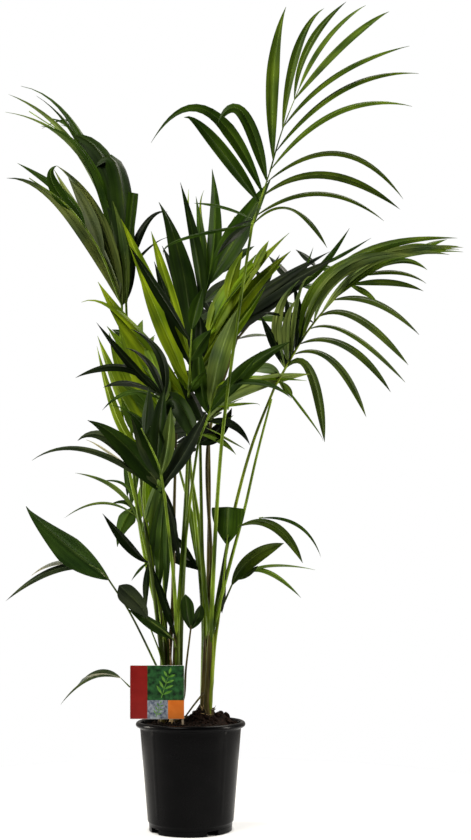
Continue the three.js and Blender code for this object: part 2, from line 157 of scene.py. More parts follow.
# Leaves: steps along them, the places of their lengthwise folds from edge to edge and their pleats, how far
# chance leans, turns and twists them, and the scales and colours of their patches and veins. A scale is for
# the way across, the way along and the leaf's number.
LEAF_STEPS = 22
LEAF_FOLDS = np.array([-1, -0.7, -0.4, -0.07, 0, 0.07, 0.4, 0.7, 1])
LEAF_PLEATS = 0.045 * np.array([0, 1, -1, 0, 1.5, 0, -1, 1, 0])
LEAF_THICKNESS = 0.5
LEAF_FOLD_SLOPE = 0.3
LEAF_TILT = 0.5
LEAF_BASE = 0.09
LEAF_WANDER = 0.22
LEAF_TURN = 0.2
LEAF_TWIST = 0.25
LEAFLET_WIDENING = 1.12
TIP_SCATTER = 7
LEAF_SPECULAR = 0.08
LEAF_ROUGHNESS = (0.4, 0.6)
PATCH_SCALE = (1 / 45, 1 / 60, 3.1)
PATCH_DARK = (0.5, 0.58, 0.68)
PATCH_LIGHT = (1.42, 1.3, 1.04)
VEIN_SCALE = (1 / 4.5, 1 / 150, 7.3)
VEIN_DARK = (0.5, 0.54, 0.5, 1)
VEIN_DEPTH = 0.05

FRONDS = {}


def add_frond(name, stem, share, stalk, rib, depth, *fans, twin=()):
    """A frond: its stem, the share of the stem where its stalk leaves it, the stalk's middle places, the
    rib, the depths of the rib's ends, and its leaflets. A twin is a second stalk beside the first. A frond
    without a stem goes on from the rib of another."""
    FRONDS[name] = dict(stem=stem, share=share, stalk=stalk, rib=rib, depth=depth, fans=fans, twin=twin)


def fan(roots, tips, widths, arch, depth, tone, peak=0.45, count=None, **shape):
    """A row of leaflets from places on the rib, as shares of its length, to tips on the elevation.

    All but the tone, the count and the shape are one value or several, spread along the row. Where count
    isn't the number of tips, they lie evenly along a line through the tips. The depth is how far the tips
    lie behind their roots, the arch how high a leaflet bows over its straight run, and the peak where. The
    shape is what leaf takes.
    """
    tips = np.atleast_2d(tips).astype(float)
    return dict(roots=roots, tips=tips, widths=widths, arch=arch, depth=depth, tone=tone, peak=peak,
                count=count or len(tips), shape=shape)


add_frond(
    "upper_right", "right_front", 1, [(43, 482), (60, 747), (91, 983)],
    [(118, 1160), (133, 1205), (152, 1262)], (-140, -112),
    fan((0, 0.1, 0.42, 0.83), [(-53, 1102), (7, 1202), (-13, 1367), (52, 1355)], (8, 13, 22, 21),
        (0.2, 0.15, 0.12, 0.68), -60, "dark", (1, 0.5, 1, 1.3), blunt=2.6),
    fan(0.6, (-76, 1318), 22, 0.85, -60, "dark", 0.9, blunt=0.75, widest=0.42),
    fan((0, 0.16, 0.53, 0.8), [(262, 1116), (371, 1168), (402, 1190), (408, 1210)], (12, 12, 13, 11),
        (0.7, 0.4, 0.4, 0.55), 80, "olive", (0.3, 0.5, 0.4, 0.5), blunt=2, widest=0.56),
    fan((0, 0.1), [(50, 1100), (66, 1150)], 14, (0.2, 0.1), 90, "deep_painted_shade"),
)
add_frond(
    "upper_right_top", None, 0, [], [(152, 1262), (175, 1340), (208, 1422)], (-112, -90),
    fan((0.14, 0.5, 0.86), [(183, 1579), (256, 1576), (299, 1589)], (22, 15, 12), (0.09, 0.18, 0.22), -60,
        "mid", (0.7, 0.8, 0.5), widest=0.56),
    fan((0.02, 0.23, 0.53, 0.87, 1), [(425, 1388), (438, 1451), (420, 1504), (381, 1570), (336, 1582)],
        (12, 13, 13, 29, 20), (0.33, 0.28, 0.2, 0.14, 0.2), 80, "mid", (0.6, 0.6, 0.5, 0.7, 0.6), blunt=1.9,
        widest=0.66),
)
add_frond(
    "mid_right", "right_front", 1, [(62, 500), (88, 630), (121, 747)],
    [(162, 851), (236, 972), (330, 1065), (430, 1108)], (-20, 10),
    fan((0.1, 0.18, 0.24, 0.33, 0.41, 0.52), [(257, 743), (337, 791), (384, 839), (412, 858), (418, 891),
        (439, 949)], (17, 15, 14, 14, 16, 14), (0.5, 0.45, 0.4, 0.3, 0.35, 0.3), 80, "olive",
        (-0.2, 0.2, 0.3, 0.2, 0.2, 0.4), blunt=2.4),
    fan((0.03, 0.63, 0.7, 0.74), [(194, 828), (447, 1033), (452, 1048), (454, 1074)], (13, 11, 11, 13),
        (0.2, 0.15, 0.25, 0.35), 20, "olive", 0.6, blunt=2.2),
    fan(0.04, (254, 745), 5, 0.05, 30, "mid", 1),
    fan((0.28, 0.43, 0.37), [(426, 1103), (497, 1103), (523, 1117)], (20, 16, 18), (0.45, 0.35, 0.4), -50,
        "grey", (0.5, 0.5, 0.3), shows=-1),
    fan((0.25, 0.23, 0.7, 0.53), [(512, 1135), (356, 1112), (490, 1112), (454, 1074)], (18, 17, 13, 12),
        (0.42, 0.42, 0.3, 0.4), -60, "mid", (0.42, 0.5, 0.6, 0.8)),
    fan((0.1, 0.16, 0.13, 0.05), [(209, 1055), (235, 1062), (203, 1017), (107, 877)], (18, 11, 15, 19),
        (0.35, 0.2, 0.2, 0.45), -50, "grey", (0.6, 1, 0.7, 0.4), shows=-1),
    fan((0.1, 0.37), [(133, 988), (136, 991)], (18, 11), (0.05, 0.15), -40, "deep_painted_shade", 0.25),
    fan((0.1, 0.2), [(180, 1030), (196, 1050)], (22, 16), 0.15, -20, "deep_painted_shade"),
    fan(0.63, (358, 1012), 10, 0.12, -50, "mid", 0.6),
    fan((0.72, 1), [(498, 1112), (523, 1118), (508, 1136)], 12, (0.2, 0.1), 20, "mid", count=5),
    twin=[(46, 400), (78, 520), (103, 613), (126, 714), (155, 826)],
)
add_frond(
    "inner_right", "right_back", 1, [(39, 505), (34, 747)],
    [(88, 940), (150, 1010), (240, 1080)], (90, 190),
    fan((0, 0, 0.07), [(267, 1109), (279, 1098), (171, 1103)], (26, 29, 22), (0.3, 0.25, 0.05), 20, "slate_painted_sheen",
        (0, -0.2, 0.5)),
    fan((0, 0.18), [(228, 1058), (235, 1049)], (30, 19), (0.15, 0.25), 40, "deep_painted_shade", 0),
    fan((0.57, 0.64, 1), [(235, 1117), (305, 1154), (346, 1135)], (12, 14, 8), (-0.25, -0.2, -0.05), -60,
        "dark", 0.2),
    fan((0, 1), [(170, 930), (225, 985), (290, 1060)], (20, 20, 14), (0.25, 0.1), 110, "dark", count=5),
    fan((0.2, 1), [(90, 1040), (140, 1100), (200, 1120)], (20, 20, 14), 0.1, 110, "deep_painted_shade", count=4),
)
add_frond(
    "centre", "right_back", 1, [(18, 571), (-3, 720)], [(2, 915), (28, 1030), (50, 1110)], (40, 130),
    fan((0.07, 0.32), [(-61, 1204), (-20, 1242)], (41, 22), 0.1, -20, "bottle_painted_shade", (0.7, 0.2)),
    fan((0.4, 0.56, 0.65), [(10, 1215), (41, 1268), (153, 1246)], (20, 26, 44), (0.05, -0.1, 0), 50, "dark",
        (0.5, 0.5, 0.8)),
    fan((0.82, 0.73, 0.75), [(26, 1227), (85, 1178), (-4, 1229)], (9, 20, 9), (-0.15, 0, -0.2), 70, "lime_painted_backlight",
        (0.8, 0.5, 0.4)),
    fan((0, 0, 0.1), [(-40, 1040), (87, 1055), (-55, 1120)], (29, 29, 26), (0.15, -0.1, 0.1), 30, "deep_painted_shade"),
    fan((0.2, 1), [(60, 1010), (120, 1110), (130, 1190)], (24, 26, 22), (0.1, 0.05), 90, "dark", count=4),
)
add_frond(
    "centre_right", "right_front", 1, [(24, 494), (20, 638), (18, 747)],
    [(14, 880), (50, 985), (120, 1075)], (-10, -50),
    fan((0.02, 0.12), [(192, 1110), (189, 1145)], 28, (0.1, 0.14), 0, "lime_painted_backlight", 0.5, widest=0.5),
    fan(0.12, (126, 1104), 34, 0.1, 10, "fresh", 0.5, widest=0.5),
    fan((0.02, 0.3, 0.6), [(144, 1043), (175, 1085), (170, 1128)], (22, 20, 16), (-0.05, 0.05, 0.1), 60,
        "fresh"),
    fan(0, [(93, 985), (112, 1010)], (24, 20), (-0.3, -0.1), 40, "grey", 0.2, shows=-1),
    fan((0, 0.1), [(11, 934), (16, 990)], (31, 24), (-0.1, 0.05), -40, "deep_painted_shade"),
    fan((0.3, 1), [(75, 1060), (100, 1110), (150, 1130)], (20, 22, 14), (0.1, 0.05), 50, "lime_painted_backlight", count=3),
)
add_frond(
    "front_centre", "left_front", 1, [(-14, 520), (0, 640)], [(14, 740), (36, 800), (50, 850)], (-40, -50),
    fan(0, (-60, 775), 37, 1.4, -70, "bottle_painted_shade", 1.4, blunt=2.4),
    fan((0.54, 0.57, 1), [(191, 936), (135, 918), (193, 827)], (28, 16, 12), (0.15, 0, 0.3), -70, "dark",
        (0.5, 0.6, 0.6)),
    fan((0.45, 0.22), [(229, 874), (100, 827)], (28, 22), (0.25, 0.2), 40, "grey", (0.3, 0.6), shows=-1),
    fan(0.62, (93, 1003), 34, 0.1, 20, "grey", widest=0.5),
    fan(0.52, (16, 936), 27, -0.12, 6, "dark", widest=0.5),
    fan((0.95, 0.65), [(223, 861), (133, 814)], (12, 8), (0.2, 0.1), 50, "fresh", (0.1, 1)),
    fan((0, 0.39, 0), [(79, 809), (114, 737), (27, 802)], (27, 14, 24), (-0.2, 0.4, -0.1), 40, "deep_painted_shade"),
    fan((0.3, 0.16, 0.43), [(104, 730), (87, 719), (82, 795)], (16, 13, 9), (0.05, 0.25, -0.3), 40, "mid"),
    fan(0, [(69, 790), (49, 767)], (22, 15), (-0.3, -0.2), 60, "deep_painted_shade"),
    fan((0.3, 0.6), [(-30, 880), (-5, 915)], (26, 24), (0.1, 0.05), 20, "deep_painted_shade"),
    fan((0, 0.2), [(-46, 690), (-30, 740)], (16, 15), (0.3, 0.1), 30, "deep_painted_shade"),
)
add_frond(
    "left_bright", "left_front", 1, [(-15, 549), (-7, 692)], [(-4, 824), (-2, 890), (2, 960)], (-30, -120),
    fan(0, [(-210, 1012), (-178, 1051)], (20, 34), (0.25, -0.05), -20, "lime_painted_backlight", (0.9, 0.5)),
    fan(0, (-134, 1172), 31, 0.04, -20, "lime_painted_backlight", 0.5),
    fan((0.2, 0.58), [(-100, 1075), (-76, 1148)], (29, 20), 0, -10, "lime_painted_backlight", (0.5, 0.6), blunt=2),
    fan(0, [(-136, 887), (-161, 966)], (32, 29), (0.15, -0.15), 50, "fresh", (0.4, 0)),
    fan((0.81, 0.5), [(-117, 1119), (-70, 1090)], (20, 24), 0, -30, "deep_painted_shade", 0),
    fan((0.1, 1), [(30, 880), (40, 960), (24, 1040)], (20, 26, 22), (0.1, 0.05), -20, "dark"),
)
add_frond(
    "left_fan", "left_back", 1, [(-80, 549), (-88, 674)], [(-54, 760), (-50, 800), (-52, 840)], (-60, -130),
    fan(0, [(-180, 927), (-179, 947), (-157, 954), (-139, 966)], (16, 24, 23, 28), (-0.55, -0.25, -0.15, 0),
        20, "lime_painted_backlight", (-0.2, 0, 0.4, 0.3)),
    fan((0, 0, 0.1), [(-132, 853), (-134, 831), (-107, 821)], (29, 18, 20), (0.2, -0.5, 0.05), 0, "mid",
        (0.6, 0.2, 0.7)),
    fan(0.85, [(-181, 973), (-125, 924), (-116, 961)], (14, 12, 16), (-0.05, 0.3, 0.4), -80, "deep_painted_shade",
        (0.45, 0.65, 0.57)),
    fan(0.85, [(-221, 867), (-168, 848)], (16, 10), (0.46, 0.28), -75, "deep_painted_shade", (0.48, 0.6), widest=0.66),
    fan((0.76, 0), [(-170, 804), (-156, 812)], (8, 6), (0.45, 0.15), -60, "dark", (0.5, 0.9)),
    fan((0, 1), [(-20, 800), (-40, 890), (-80, 940)], (26, 30, 26), (0.1, 0.05), 100, "mid", count=5),
)
add_frond(
    "front_fan", "left_front", 1, [(-31, 461), (-41, 560)],
    [(-50, 640), (-62, 700), (-95, 770)], (-100, -195),
    fan((0.02, 0.26), [(-198, 785), (-123, 803)], (38, 30), (0.15, 0.2), -20, "bottle_painted_shade", 0.7),
    fan(0.21, (-115, 794), 27, 0, -20, "ash", 0.7),
    fan(0.1, (-217, 746), 30, 0.36, 24, "ash", 0.9),
    fan(0, (-305, 708), 11, 0.36, -6, "ash", 0.71, blunt=2),
    fan(0, (-201, 748), 7, 0.067, 8, "pale", 0.815, shows=-1, widest=0.76),
    fan(0.31, (-38, 810), 24, -0.05, -26, "grey"),
    fan(0.16, (31, 804), 24, -0.05, -20, "slate_painted_sheen"),
    fan((0.1, 0.5, 0.9), [(-9, 750), (-50, 850), (-80, 850)], (22, 26, 24), (0.1, 0.05, 0), 20, "bottle_painted_shade"),
    fan((0.2, 0.3, 0.1), [(-71, 520), (-96, 560), (-50, 470)], (25, 20, 20), 0.05, 150, "mid"),
    fan((0, 0.05, 0), [(-62, 446), (-74, 486), (-49, 436)], (20, 22, 13), 0.03, 130, "dark", widest=0.55),
    fan((0.1, 0), [(-34, 520), (-20, 500)], (17, 12), (0.1, 0.05), 120, "deep_painted_shade", widest=0.5),
)
add_frond(
    "left_pleated", "left_back", 1, [(-101, 611), (-121, 703), (-135, 850)],
    [(-132, 1006), (-180, 1120), (-240, 1200), (-310, 1250)], (10, -110),
    fan(0, [(-153, 1169), (-212, 1225)], 24, (0.05, 0.1), 10, "bottle_painted_shade", (-0.1, 0.4), shows=-1),
    fan(0, [(-257, 1274), (-262, 1266), (-353, 1250)], (36, 30, 20), (0.2, 0.05, 0.25), 10, "moss",
        (0.7, 0.3, 0.8), shows=-1),
    fan((0.53, 0.66), [(-333, 1279), (-257, 1274)], (16, 22), (0.2, -0.4), -20, "dark", (0.3, 1)),
    fan((0.05, 0.3), [(-190, 1190), (-235, 1250)], (26, 24), (0.12, 0.1), 40, "ash", shows=-1),
)
add_frond(
    "left_arching", "left_back", 1, [(-82, 494), (-105, 640), (-118, 850)],
    [(-124, 1010), (-145, 1190), (-215, 1310), (-310, 1378)], (50, 170),
    fan(0.1, (-110, 1222), 19, 0, -40, "dark", 0.5, blunt=9, widest=0.88, end=0.94),
    fan(0, (-150, 1206), 16, 0.1, -40, "grey", 0.6),
    fan((0, 0.01, 0.01), [(-190, 1265), (-228, 1333), (-166, 1253)], (42, 42, 29), (0.37, 0.28, 0.1), 0,
        "bottle_painted_shade", (1.36, 0.88, 0.6), blunt=2.8, widest=0.66),
    fan((0.04, 0.1), [(-326, 1427), (-296, 1408)], (33, 20), (0.28, 0.2), 20, "dark", (0.8, 0.7), blunt=1,
        widest=0.58),
    fan(0.16, [(-350, 1411), (-356, 1377)], (14, 12), (0.25, 0.35), -10, "grey", 0.65),
    fan((0.13, 0.75), [(-288, 1350), (-286, 1345)], (16, 5), (0.3, 1), -40, "dark", (0.8, 0.3)),
    fan((0.01, 0.1, 0.11), [(-135, 1238), (-44, 1185), (-38, 1138)], (23, 15, 7), (0.1, 0.3, 0.2), 30,
        "deep_painted_shade", (0.2, 0.9, 0.7)),
    fan((0.1, 0.4), [(-206, 1304), (-272, 1370)], (19, 16), 0.25, 60, "dark", 0.8, count=4),
)
add_frond(
    "low_left", "left_front", 0.15, [(-68, 318), (-118, 418)],
    [(-158, 480), (-175, 498), (-195, 508)], (-50, -80),
    fan(0, (-316, 620), 54, -0.05, -20, "fern", 0.9, blunt=1.1),
    fan(0.1, (-355, 438), 13, 0.38, 90, "ash", 0.3),
    fan(0.1, (-306, 487), 13, 0.4, 40, "pale", 0.56, shows=-1, widest=0.64),
)
add_frond(
    "low_left_small", "left_back", 0.08, [(-85, 262)], [(-118, 274), (-126, 282), (-134, 290)], (-30, -34),
    fan(1, (-217, 277), 12, 0.43, 4, "ash", 0.35),
    fan(1, (-216, 277), 8, 0.29, -8, "pale", 0.58, shows=-1, blunt=1, widest=0.84),
    fan(1, (-250, 239), 6, 0.365, -34, "ash", 0.365),
)
add_frond(
    "low_front_left", "left_front", 0.72, [(-30, 352)], [(-33, 364), (-56, 384), (-86, 406)], (-40, -60),
    fan(0, (-120, 422), 21, 0.06, -20, "bottle_painted_shade", 0.6, blunt=2),
    fan(0.97, (-138, 468), 36, 0.15, 10, "slate_painted_sheen", 0.2, blunt=4, widest=0.6),
)
add_frond(
    "low_middle", "left_front", 0.06, [(-14, 250), (-9, 310)], [(0, 384), (0, 388), (1, 392)], (-30, -34),
    fan(0, [(-10, 451), (20, 432)], (24, 17), (-0.05, -0.15), (-10, 40), "bottle_painted_shade", blunt=2.4, widest=0.6),
)
add_frond(
    "low_dark_left", "left_back", 0.95, [(-66, 470)], [(-80, 514), (-84, 519), (-88, 524)], (-14, -17),
    fan(0, (-169, 606), 22, -0.1, -20, "deep_painted_shade", 0),
    fan(0, (-114, 477), 5, 0.1, -30, "dark"),
    fan(0, (-86, 414), 12, 0.05, 10, "ash"),
    fan(0, (-28, 364), 15, 0.03, -18, "deep_painted_shade", widest=0.6),
)
add_frond(
    "thin_left", "left_back", 1, [(-74, 500)], [(-100, 590), (-110, 615), (-122, 640)], (70, 90),
    fan((0.14, 0.19), [(-222, 684), (-243, 597)], (9, 5), (0.3, 0.4), 0, "grey"),
    fan((0.24, 0.6), [(-154, 624), (-173, 668)], (11, 6), 0.6, 20, "dark"),
    fan((0, 0.5), [(-83, 694), (-70, 682)], (22, 18), (0, -0.2), 40, "fresh"),
    fan((0.3, 1), [(-80, 650), (-95, 700), (-130, 720)], (12, 14, 12), 0.1, 60, "dark", count=3),
)
add_frond(
    "hanging_left", None, 0, [], [(-111, 617), (-114, 613), (-117, 609)], (79, 77),
    fan(0, (-141, 542), 34, 0.15, -20, "dark", 0.5, blunt=1, widest=0.3),
)
add_frond(
    "cup_right", "right_front", 0.85, [(58, 440)], [(69, 548), (70, 556), (72, 566)], (-50, -60),
    fan(0, (71, 619), 56, 0, -16, "dark", blunt=6, widest=0.9),
    fan(0.2, [(52, 612), (92, 614)], (20, 18), 0.05, 10, "deep_painted_shade", blunt=3, widest=0.8),
    fan(0, (60, 414), 11, 0.03, 40, "slate_painted_sheen", widest=0.76),
)
add_frond(
    "droop_right", None, 0, [], [(90, 580), (94, 583), (98, 585)], (-74, -76),
    fan(0, (215, 511), 16, 0.5, -36, "olive", 0.3, blunt=2.4),
)
add_frond(
    "droop_right_thin", None, 0, [], [(131, 597), (135, 598), (139, 599)], (-86, -86),
    fan(0, (250, 522), 6, 0.4, 26, "dark", 0.5),
)
add_frond(
    "low_right", "right_front", 0.95, [(62, 430)], [(79, 469), (90, 480), (100, 486)], (20, 50),
    fan((0, 0.48), [(179, 549), (129, 506)], (28, 9), (0.25, -0.1), -20, "olive", blunt=2.4),
    fan(0.75, [(239, 498), (212, 444)], (12, 11), (0.25, 0.45), 45, "mid", (0.3, 0.2)),
)
add_frond(
    "low_inner", "right_back", 1, [(28, 440)], [(20, 496), (17, 497), (14, 498)], (30, 31),
    fan((0, 1), [(-68, 531), (-65, 565)], (27, 11), (0.2, 0.35), 20, "deep_painted_shade", (0.3, 1)),
    fan(1, (-3, 622), 9, 0, 20, "mid", 0.9, widest=0.8),
)
add_frond(
    "rear_left", "left_back", 1, [(-52, 520), (-60, 640)],
    [(-70, 770), (-90, 870), (-105, 930)], (150, 330),
    fan((0, 1), [(-140, 790), (-150, 870), (-140, 960)], (24, 26, 20), (0.2, 0.1), (-170, -150, -60),
        "dark", count=9),
    fan((0, 1), [(-30, 790), (-50, 880), (-80, 980)], (24, 26, 20), (0.2, 0.1), (150, 110, 50), "mid",
        count=9),
)
add_frond(
    "rear_right", "rear", 1, [(34, 520), (36, 660)], [(34, 790), (36, 900), (44, 980)], (160, 380),
    fan((0, 1), [(-30, 800), (-30, 920), (10, 1040)], (24, 26, 20), (0.2, 0.1), (150, 100, 40), "deep_painted_shade",
        count=10),
    fan((0, 1), [(60, 800), (70, 940), (80, 1060)], (24, 26, 20), (0.2, 0.1), (-180, -160, -70), "dark",
        count=10),
)
add_frond(
    "rear_low", "rear", 1, [(20, 540), (-5, 630)], [(-30, 720), (-50, 770), (-60, 790)], (150, 320),
    fan((0, 1), [(-90, 710), (-110, 750), (-100, 810)], (22, 24, 20), (0.2, 0.1), (140, 110, 50), "dark",
        count=8),
    fan((0, 1), [(20, 730), (10, 790), (-20, 850)], (22, 24, 20), (0.2, 0.1), (-150, -130, -60), "deep_painted_shade",
        count=8),
)

# Leaf colours: the upper side, the underside and the midrib. Some stand for light rather than the leaf's
# own green: deep and bottle are painted shade, lime is painted light shining through, and slate is a dark
# green greyed by a painted sheen.
TONES = {
    # deep: painted shade; a near-black copy of the leaf green for leaves in the clump's shade and the dark
    # fill behind the stalks.
    "deep_painted_shade": ("#0c1a02", "#1a2609", "#1c2a0a"),
    # bottle: painted shade; a green between deep and dark that darkens leaves which the lamps light more
    # than the shade they stand in.
    "bottle_painted_shade": ("#1c3006", "#2c3a10", "#2c3e0e"),
    "dark": ("#2d470a", "#414f18", "#405814"),
    "fern": ("#2a4214", "#3e5024", "#3c5222"),
    "olive": ("#3b4e10", "#505e22", "#4e601e"),
    "mid": ("#526c18", "#62762c", "#607a2a"),
    "fresh": ("#66860a", "#708618", "#788e1e"),
    # lime: painted light; a bright yellow-green base that stands for light shining through the leaf from
    # behind.
    "lime_painted_backlight": ("#748c10", "#7a921a", "#8aa028"),
    "grey": ("#5e7434", "#748848", "#708644"),
    "ash": ("#39462a", "#4c5834", "#4a5634"),
    "moss": ("#4e5e2a", "#606e38", "#5e6c3a"),
    # slate: a dark leaf green greyed towards a painted sheen, a grey reflection laid into the base colour.
    "slate_painted_sheen": ("#232c1e", "#36402e", "#37422c"),
    "pale": ("#465628", "#c8c6b2", "#a0a37a"),
}


# ---- Places and curves ----


def seen(places):
    """The places in space of rows of x, z and depth on the front elevation."""
    places = np.asarray(places, float)
    reach = (places[..., 2:] - EYE[1]) / -EYE[1]
    level = EYE[[0, 2]] + (places[..., :2] - EYE[[0, 2]]) * reach
    return np.stack([level[..., 0], places[..., 2], level[..., 1]], -1)


def with_depth(places, depth):
    """Elevation places as rows of x, z and depth, the depth running evenly from first to last."""
    return np.column_stack([np.asarray(places, float), np.linspace(*depth, len(places))])


def smooth(points, steps):
    """The places at even steps along a centripetal curve through points. Steps are a count or shares."""
    points = np.asarray(points, float)
    ends = np.vstack([2 * points[0] - points[1], points, 2 * points[-1] - points[-2]])
    turn = np.linspace(0, 1, CURVE_STEPS)[:, None]
    stretches = []
    for before, start, end, after in zip(ends, ends[1:], ends[2:], ends[3:]):
        first, middle, last = (
            math.sqrt(np.linalg.norm(run)) for run in (start - before, end - start, after - end)
        )
        leave = (start - before) / first - (end - before) / (first + middle) + (end - start) / middle
        arrive = (end - start) / middle - (after - start) / (middle + last) + (after - end) / last
        leave, arrive = leave * middle, arrive * middle
        stretches.append(
            start
            + leave * turn
            + (3 * (end - start) - 2 * leave - arrive) * turn**2
            + (2 * (start - end) + leave + arrive) * turn**3
        )
    return evenly(np.vstack(stretches), steps)


def run_along(line):
    """How far along a line each of its places lies."""
    return np.concatenate([[0], np.cumsum(np.linalg.norm(np.diff(line, axis=0), axis=1))])


def evenly(line, steps):
    """The places at even steps along a line, or at shares of its length."""
    shares = np.linspace(0, 1, steps) if isinstance(steps, int) else np.asarray(steps)
    lengths = run_along(line)
    return np.column_stack([np.interp(shares * lengths[-1], lengths, part) for part in line.T])


def unit(rows):
    return rows / np.linalg.norm(rows, axis=-1, keepdims=True)


def courses(line):
    """The direction of a line at each of its places."""
    return unit(np.gradient(line, axis=0))


def spread(values, share):
    """The value at a share of the way through a list of values, or a single value as it is."""
    values = np.atleast_1d(values)
    return float(np.interp(share, np.linspace(0, 1, len(values)), values))


# ---- Meshes ----


class Piece:
    """A mesh in the making: closed tubes of corner rings, each strip of faces with a material."""

    def __init__(self):
        self.corners = []
        self.faces = []
        self.indices = []
        self.materials = []
        self.grain = []
        self.count = 0

    def index(self, material):
        if material not in self.materials:
            self.materials.append(material)
        return self.materials.index(material)

    def loft(self, rings, materials, closed=False, grain=0):
        """Joins rings of corners into a tube. There is one material, or one for each side of a ring.
        The grain is, for each corner, how far across and along it lies in mm, and its leaf's number."""
        rings = np.asarray(rings, float)
        steps, sides = rings.shape[:2]
        if not isinstance(materials, list):
            materials = [materials] * sides
        numbers = np.arange(steps * sides).reshape(steps, sides)
        following = np.roll(numbers, -1, axis=1)
        quads = [numbers, following, np.roll(following, -1, axis=0), np.roll(numbers, -1, axis=0)]
        last = steps if closed else steps - 1
        faces = np.stack(quads, -1)[:last].reshape(-1, 4).tolist()
        materials = materials * last
        if not closed:
            faces += [numbers[0][::-1].tolist(), numbers[-1].tolist()]
            materials += materials[:1] * 2
        grain = np.broadcast_to(grain, rings.shape)
        self.add(rings.reshape(-1, 3), faces, materials, grain.reshape(-1, 3))

    def add(self, corners, faces, materials, grain=0):
        """Adds a closed mesh of corners and faces, with a material for each face."""
        self.faces += [[number + self.count for number in face] for face in faces]
        self.indices += [self.index(material) for material in materials]
        self.corners.append(corners)
        self.grain.append(np.broadcast_to(grain, corners.shape))
        self.count += len(corners)

    def make(self, name, slot, replaced, sharp=50):
        """Makes the object, in metres. An edge of more than sharp degrees stays an edge."""
        mesh = bpy.data.meshes.new(name)
        mesh.from_pydata((np.vstack(self.corners) * MM).tolist(), [], self.faces)
        for material in self.materials:
            mesh.materials.append(material)
        mesh.polygons.foreach_set("material_index", self.indices)
        mesh.polygons.foreach_set("use_smooth", [True] * len(self.faces))
        if slot == "blade":
            grain = mesh.attributes.new("grain", "FLOAT_VECTOR", "POINT")
            grain.data.foreach_set("vector", np.vstack(self.grain).ravel())
        mesh.update()
        mesh.set_sharp_from_angle(angle=math.radians(sharp))
        piece = bpy.data.objects.new(name, mesh)
        bpy.context.scene.collection.objects.link(piece)
        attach(piece, "root")
        if replaced:
            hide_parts(*replaced)


def facing(line, course, shows, tilt, wander=0):
    """The way that a leaf's upper side faces along its line: up and towards the eye, or away from it."""
    way = shows * unit(EYE - line) + tilt * UP + wander
    return unit(way - (way * course).sum(1, keepdims=True) * course)


def leaf(piece, line, width, tone, chance, shows=1, blunt=1.5, widest=0.46, end=0.02, base=LEAF_BASE):
    """A leaf along a line: folded at its midrib, lightly pleated, narrow at both ends.

    It shows the eye its upper side, or its underside where shows is -1. It is widest at a share of its
    length, and the blunter it is, the fuller its tip. Its end and its base are as wide as a share of its
    width: a tip that is bent back out of sight looks cut.
    """
    upper, under, midrib = tone
    share = np.linspace(0, 1, len(line))
    course = courses(line)
    way = facing(line, course, shows, LEAF_TILT, chance.normal(0, LEAF_WANDER, 3))
    side = np.cross(course, way)
    turn = (chance.normal(0, LEAF_TURN) + chance.normal(0, LEAF_TWIST) * share)[:, None]
    way, side = way * np.cos(turn) + side * np.sin(turn), side * np.cos(turn) - way * np.sin(turn)
    rise = 1 - (1 - np.minimum(share / widest, 1)) ** 2
    fall = 1 - np.maximum((share - widest) / (1 - widest), 0) ** blunt
    half = (width / 2 * np.maximum((base + (1 - base) * rise) * fall, end))[:, None]
    across = half * LEAF_FOLDS
    height = half * (LEAF_PLEATS - LEAF_FOLD_SLOPE * np.abs(LEAF_FOLDS))
    top = line[:, None] + side[:, None] * across[..., None] + way[:, None] * height[..., None]
    bottom = top[:, -2:0:-1] - way[:, None] * LEAF_THICKNESS
    rings = np.concatenate([top, bottom], axis=1)
    along = np.broadcast_to(run_along(line)[:, None], across.shape)
    number = np.full(across.shape, chance.integers(1, 500))
    grain = np.stack([across, along, number], -1)
    grain = np.concatenate([grain, grain[:, -2:0:-1]], axis=1)
    half_folds = len(LEAF_FOLDS) // 2
    skins = [upper] * (half_folds - 1) + [midrib] * 2 + [upper] * (half_folds - 1) + [under]
    piece.loft(rings[:, ::-1], [under] * (2 * half_folds - 1) + skins, grain=grain[:, ::-1])


def limb(piece, line, radii, material, sides=LIMB_SIDES, relief=1):
    """A round limb along a line. Its relief is a factor of the radius, by step and side."""
    course = courses(line)
    way = facing(line, course, 1, LIMB_TILT)
    side = np.cross(course, way)
    turn = np.linspace(0, FULL_TURN, sides, endpoint=False)[:, None]
    out = side[:, None] * np.cos(turn) + way[:, None] * np.sin(turn)
    reach = np.broadcast_to(radii[:, None] * relief, (len(line), sides))
    piece.loft(line[:, None] + out * reach[..., None], material)


# ---- Materials ----


def colour(code, factors=(1, 1, 1)):
    """A linear colour of a hex code, its parts multiplied by factors."""
    parts = [int(code[start : start + 2], 16) / 255 for start in (1, 3, 5)]
    parts = [part / 12.92 if part <= 0.04045 else ((part + 0.055) / 1.055) ** 2.4 for part in parts]
    return [min(part * factor, 1) for part, factor in zip(parts, factors)] + [1]


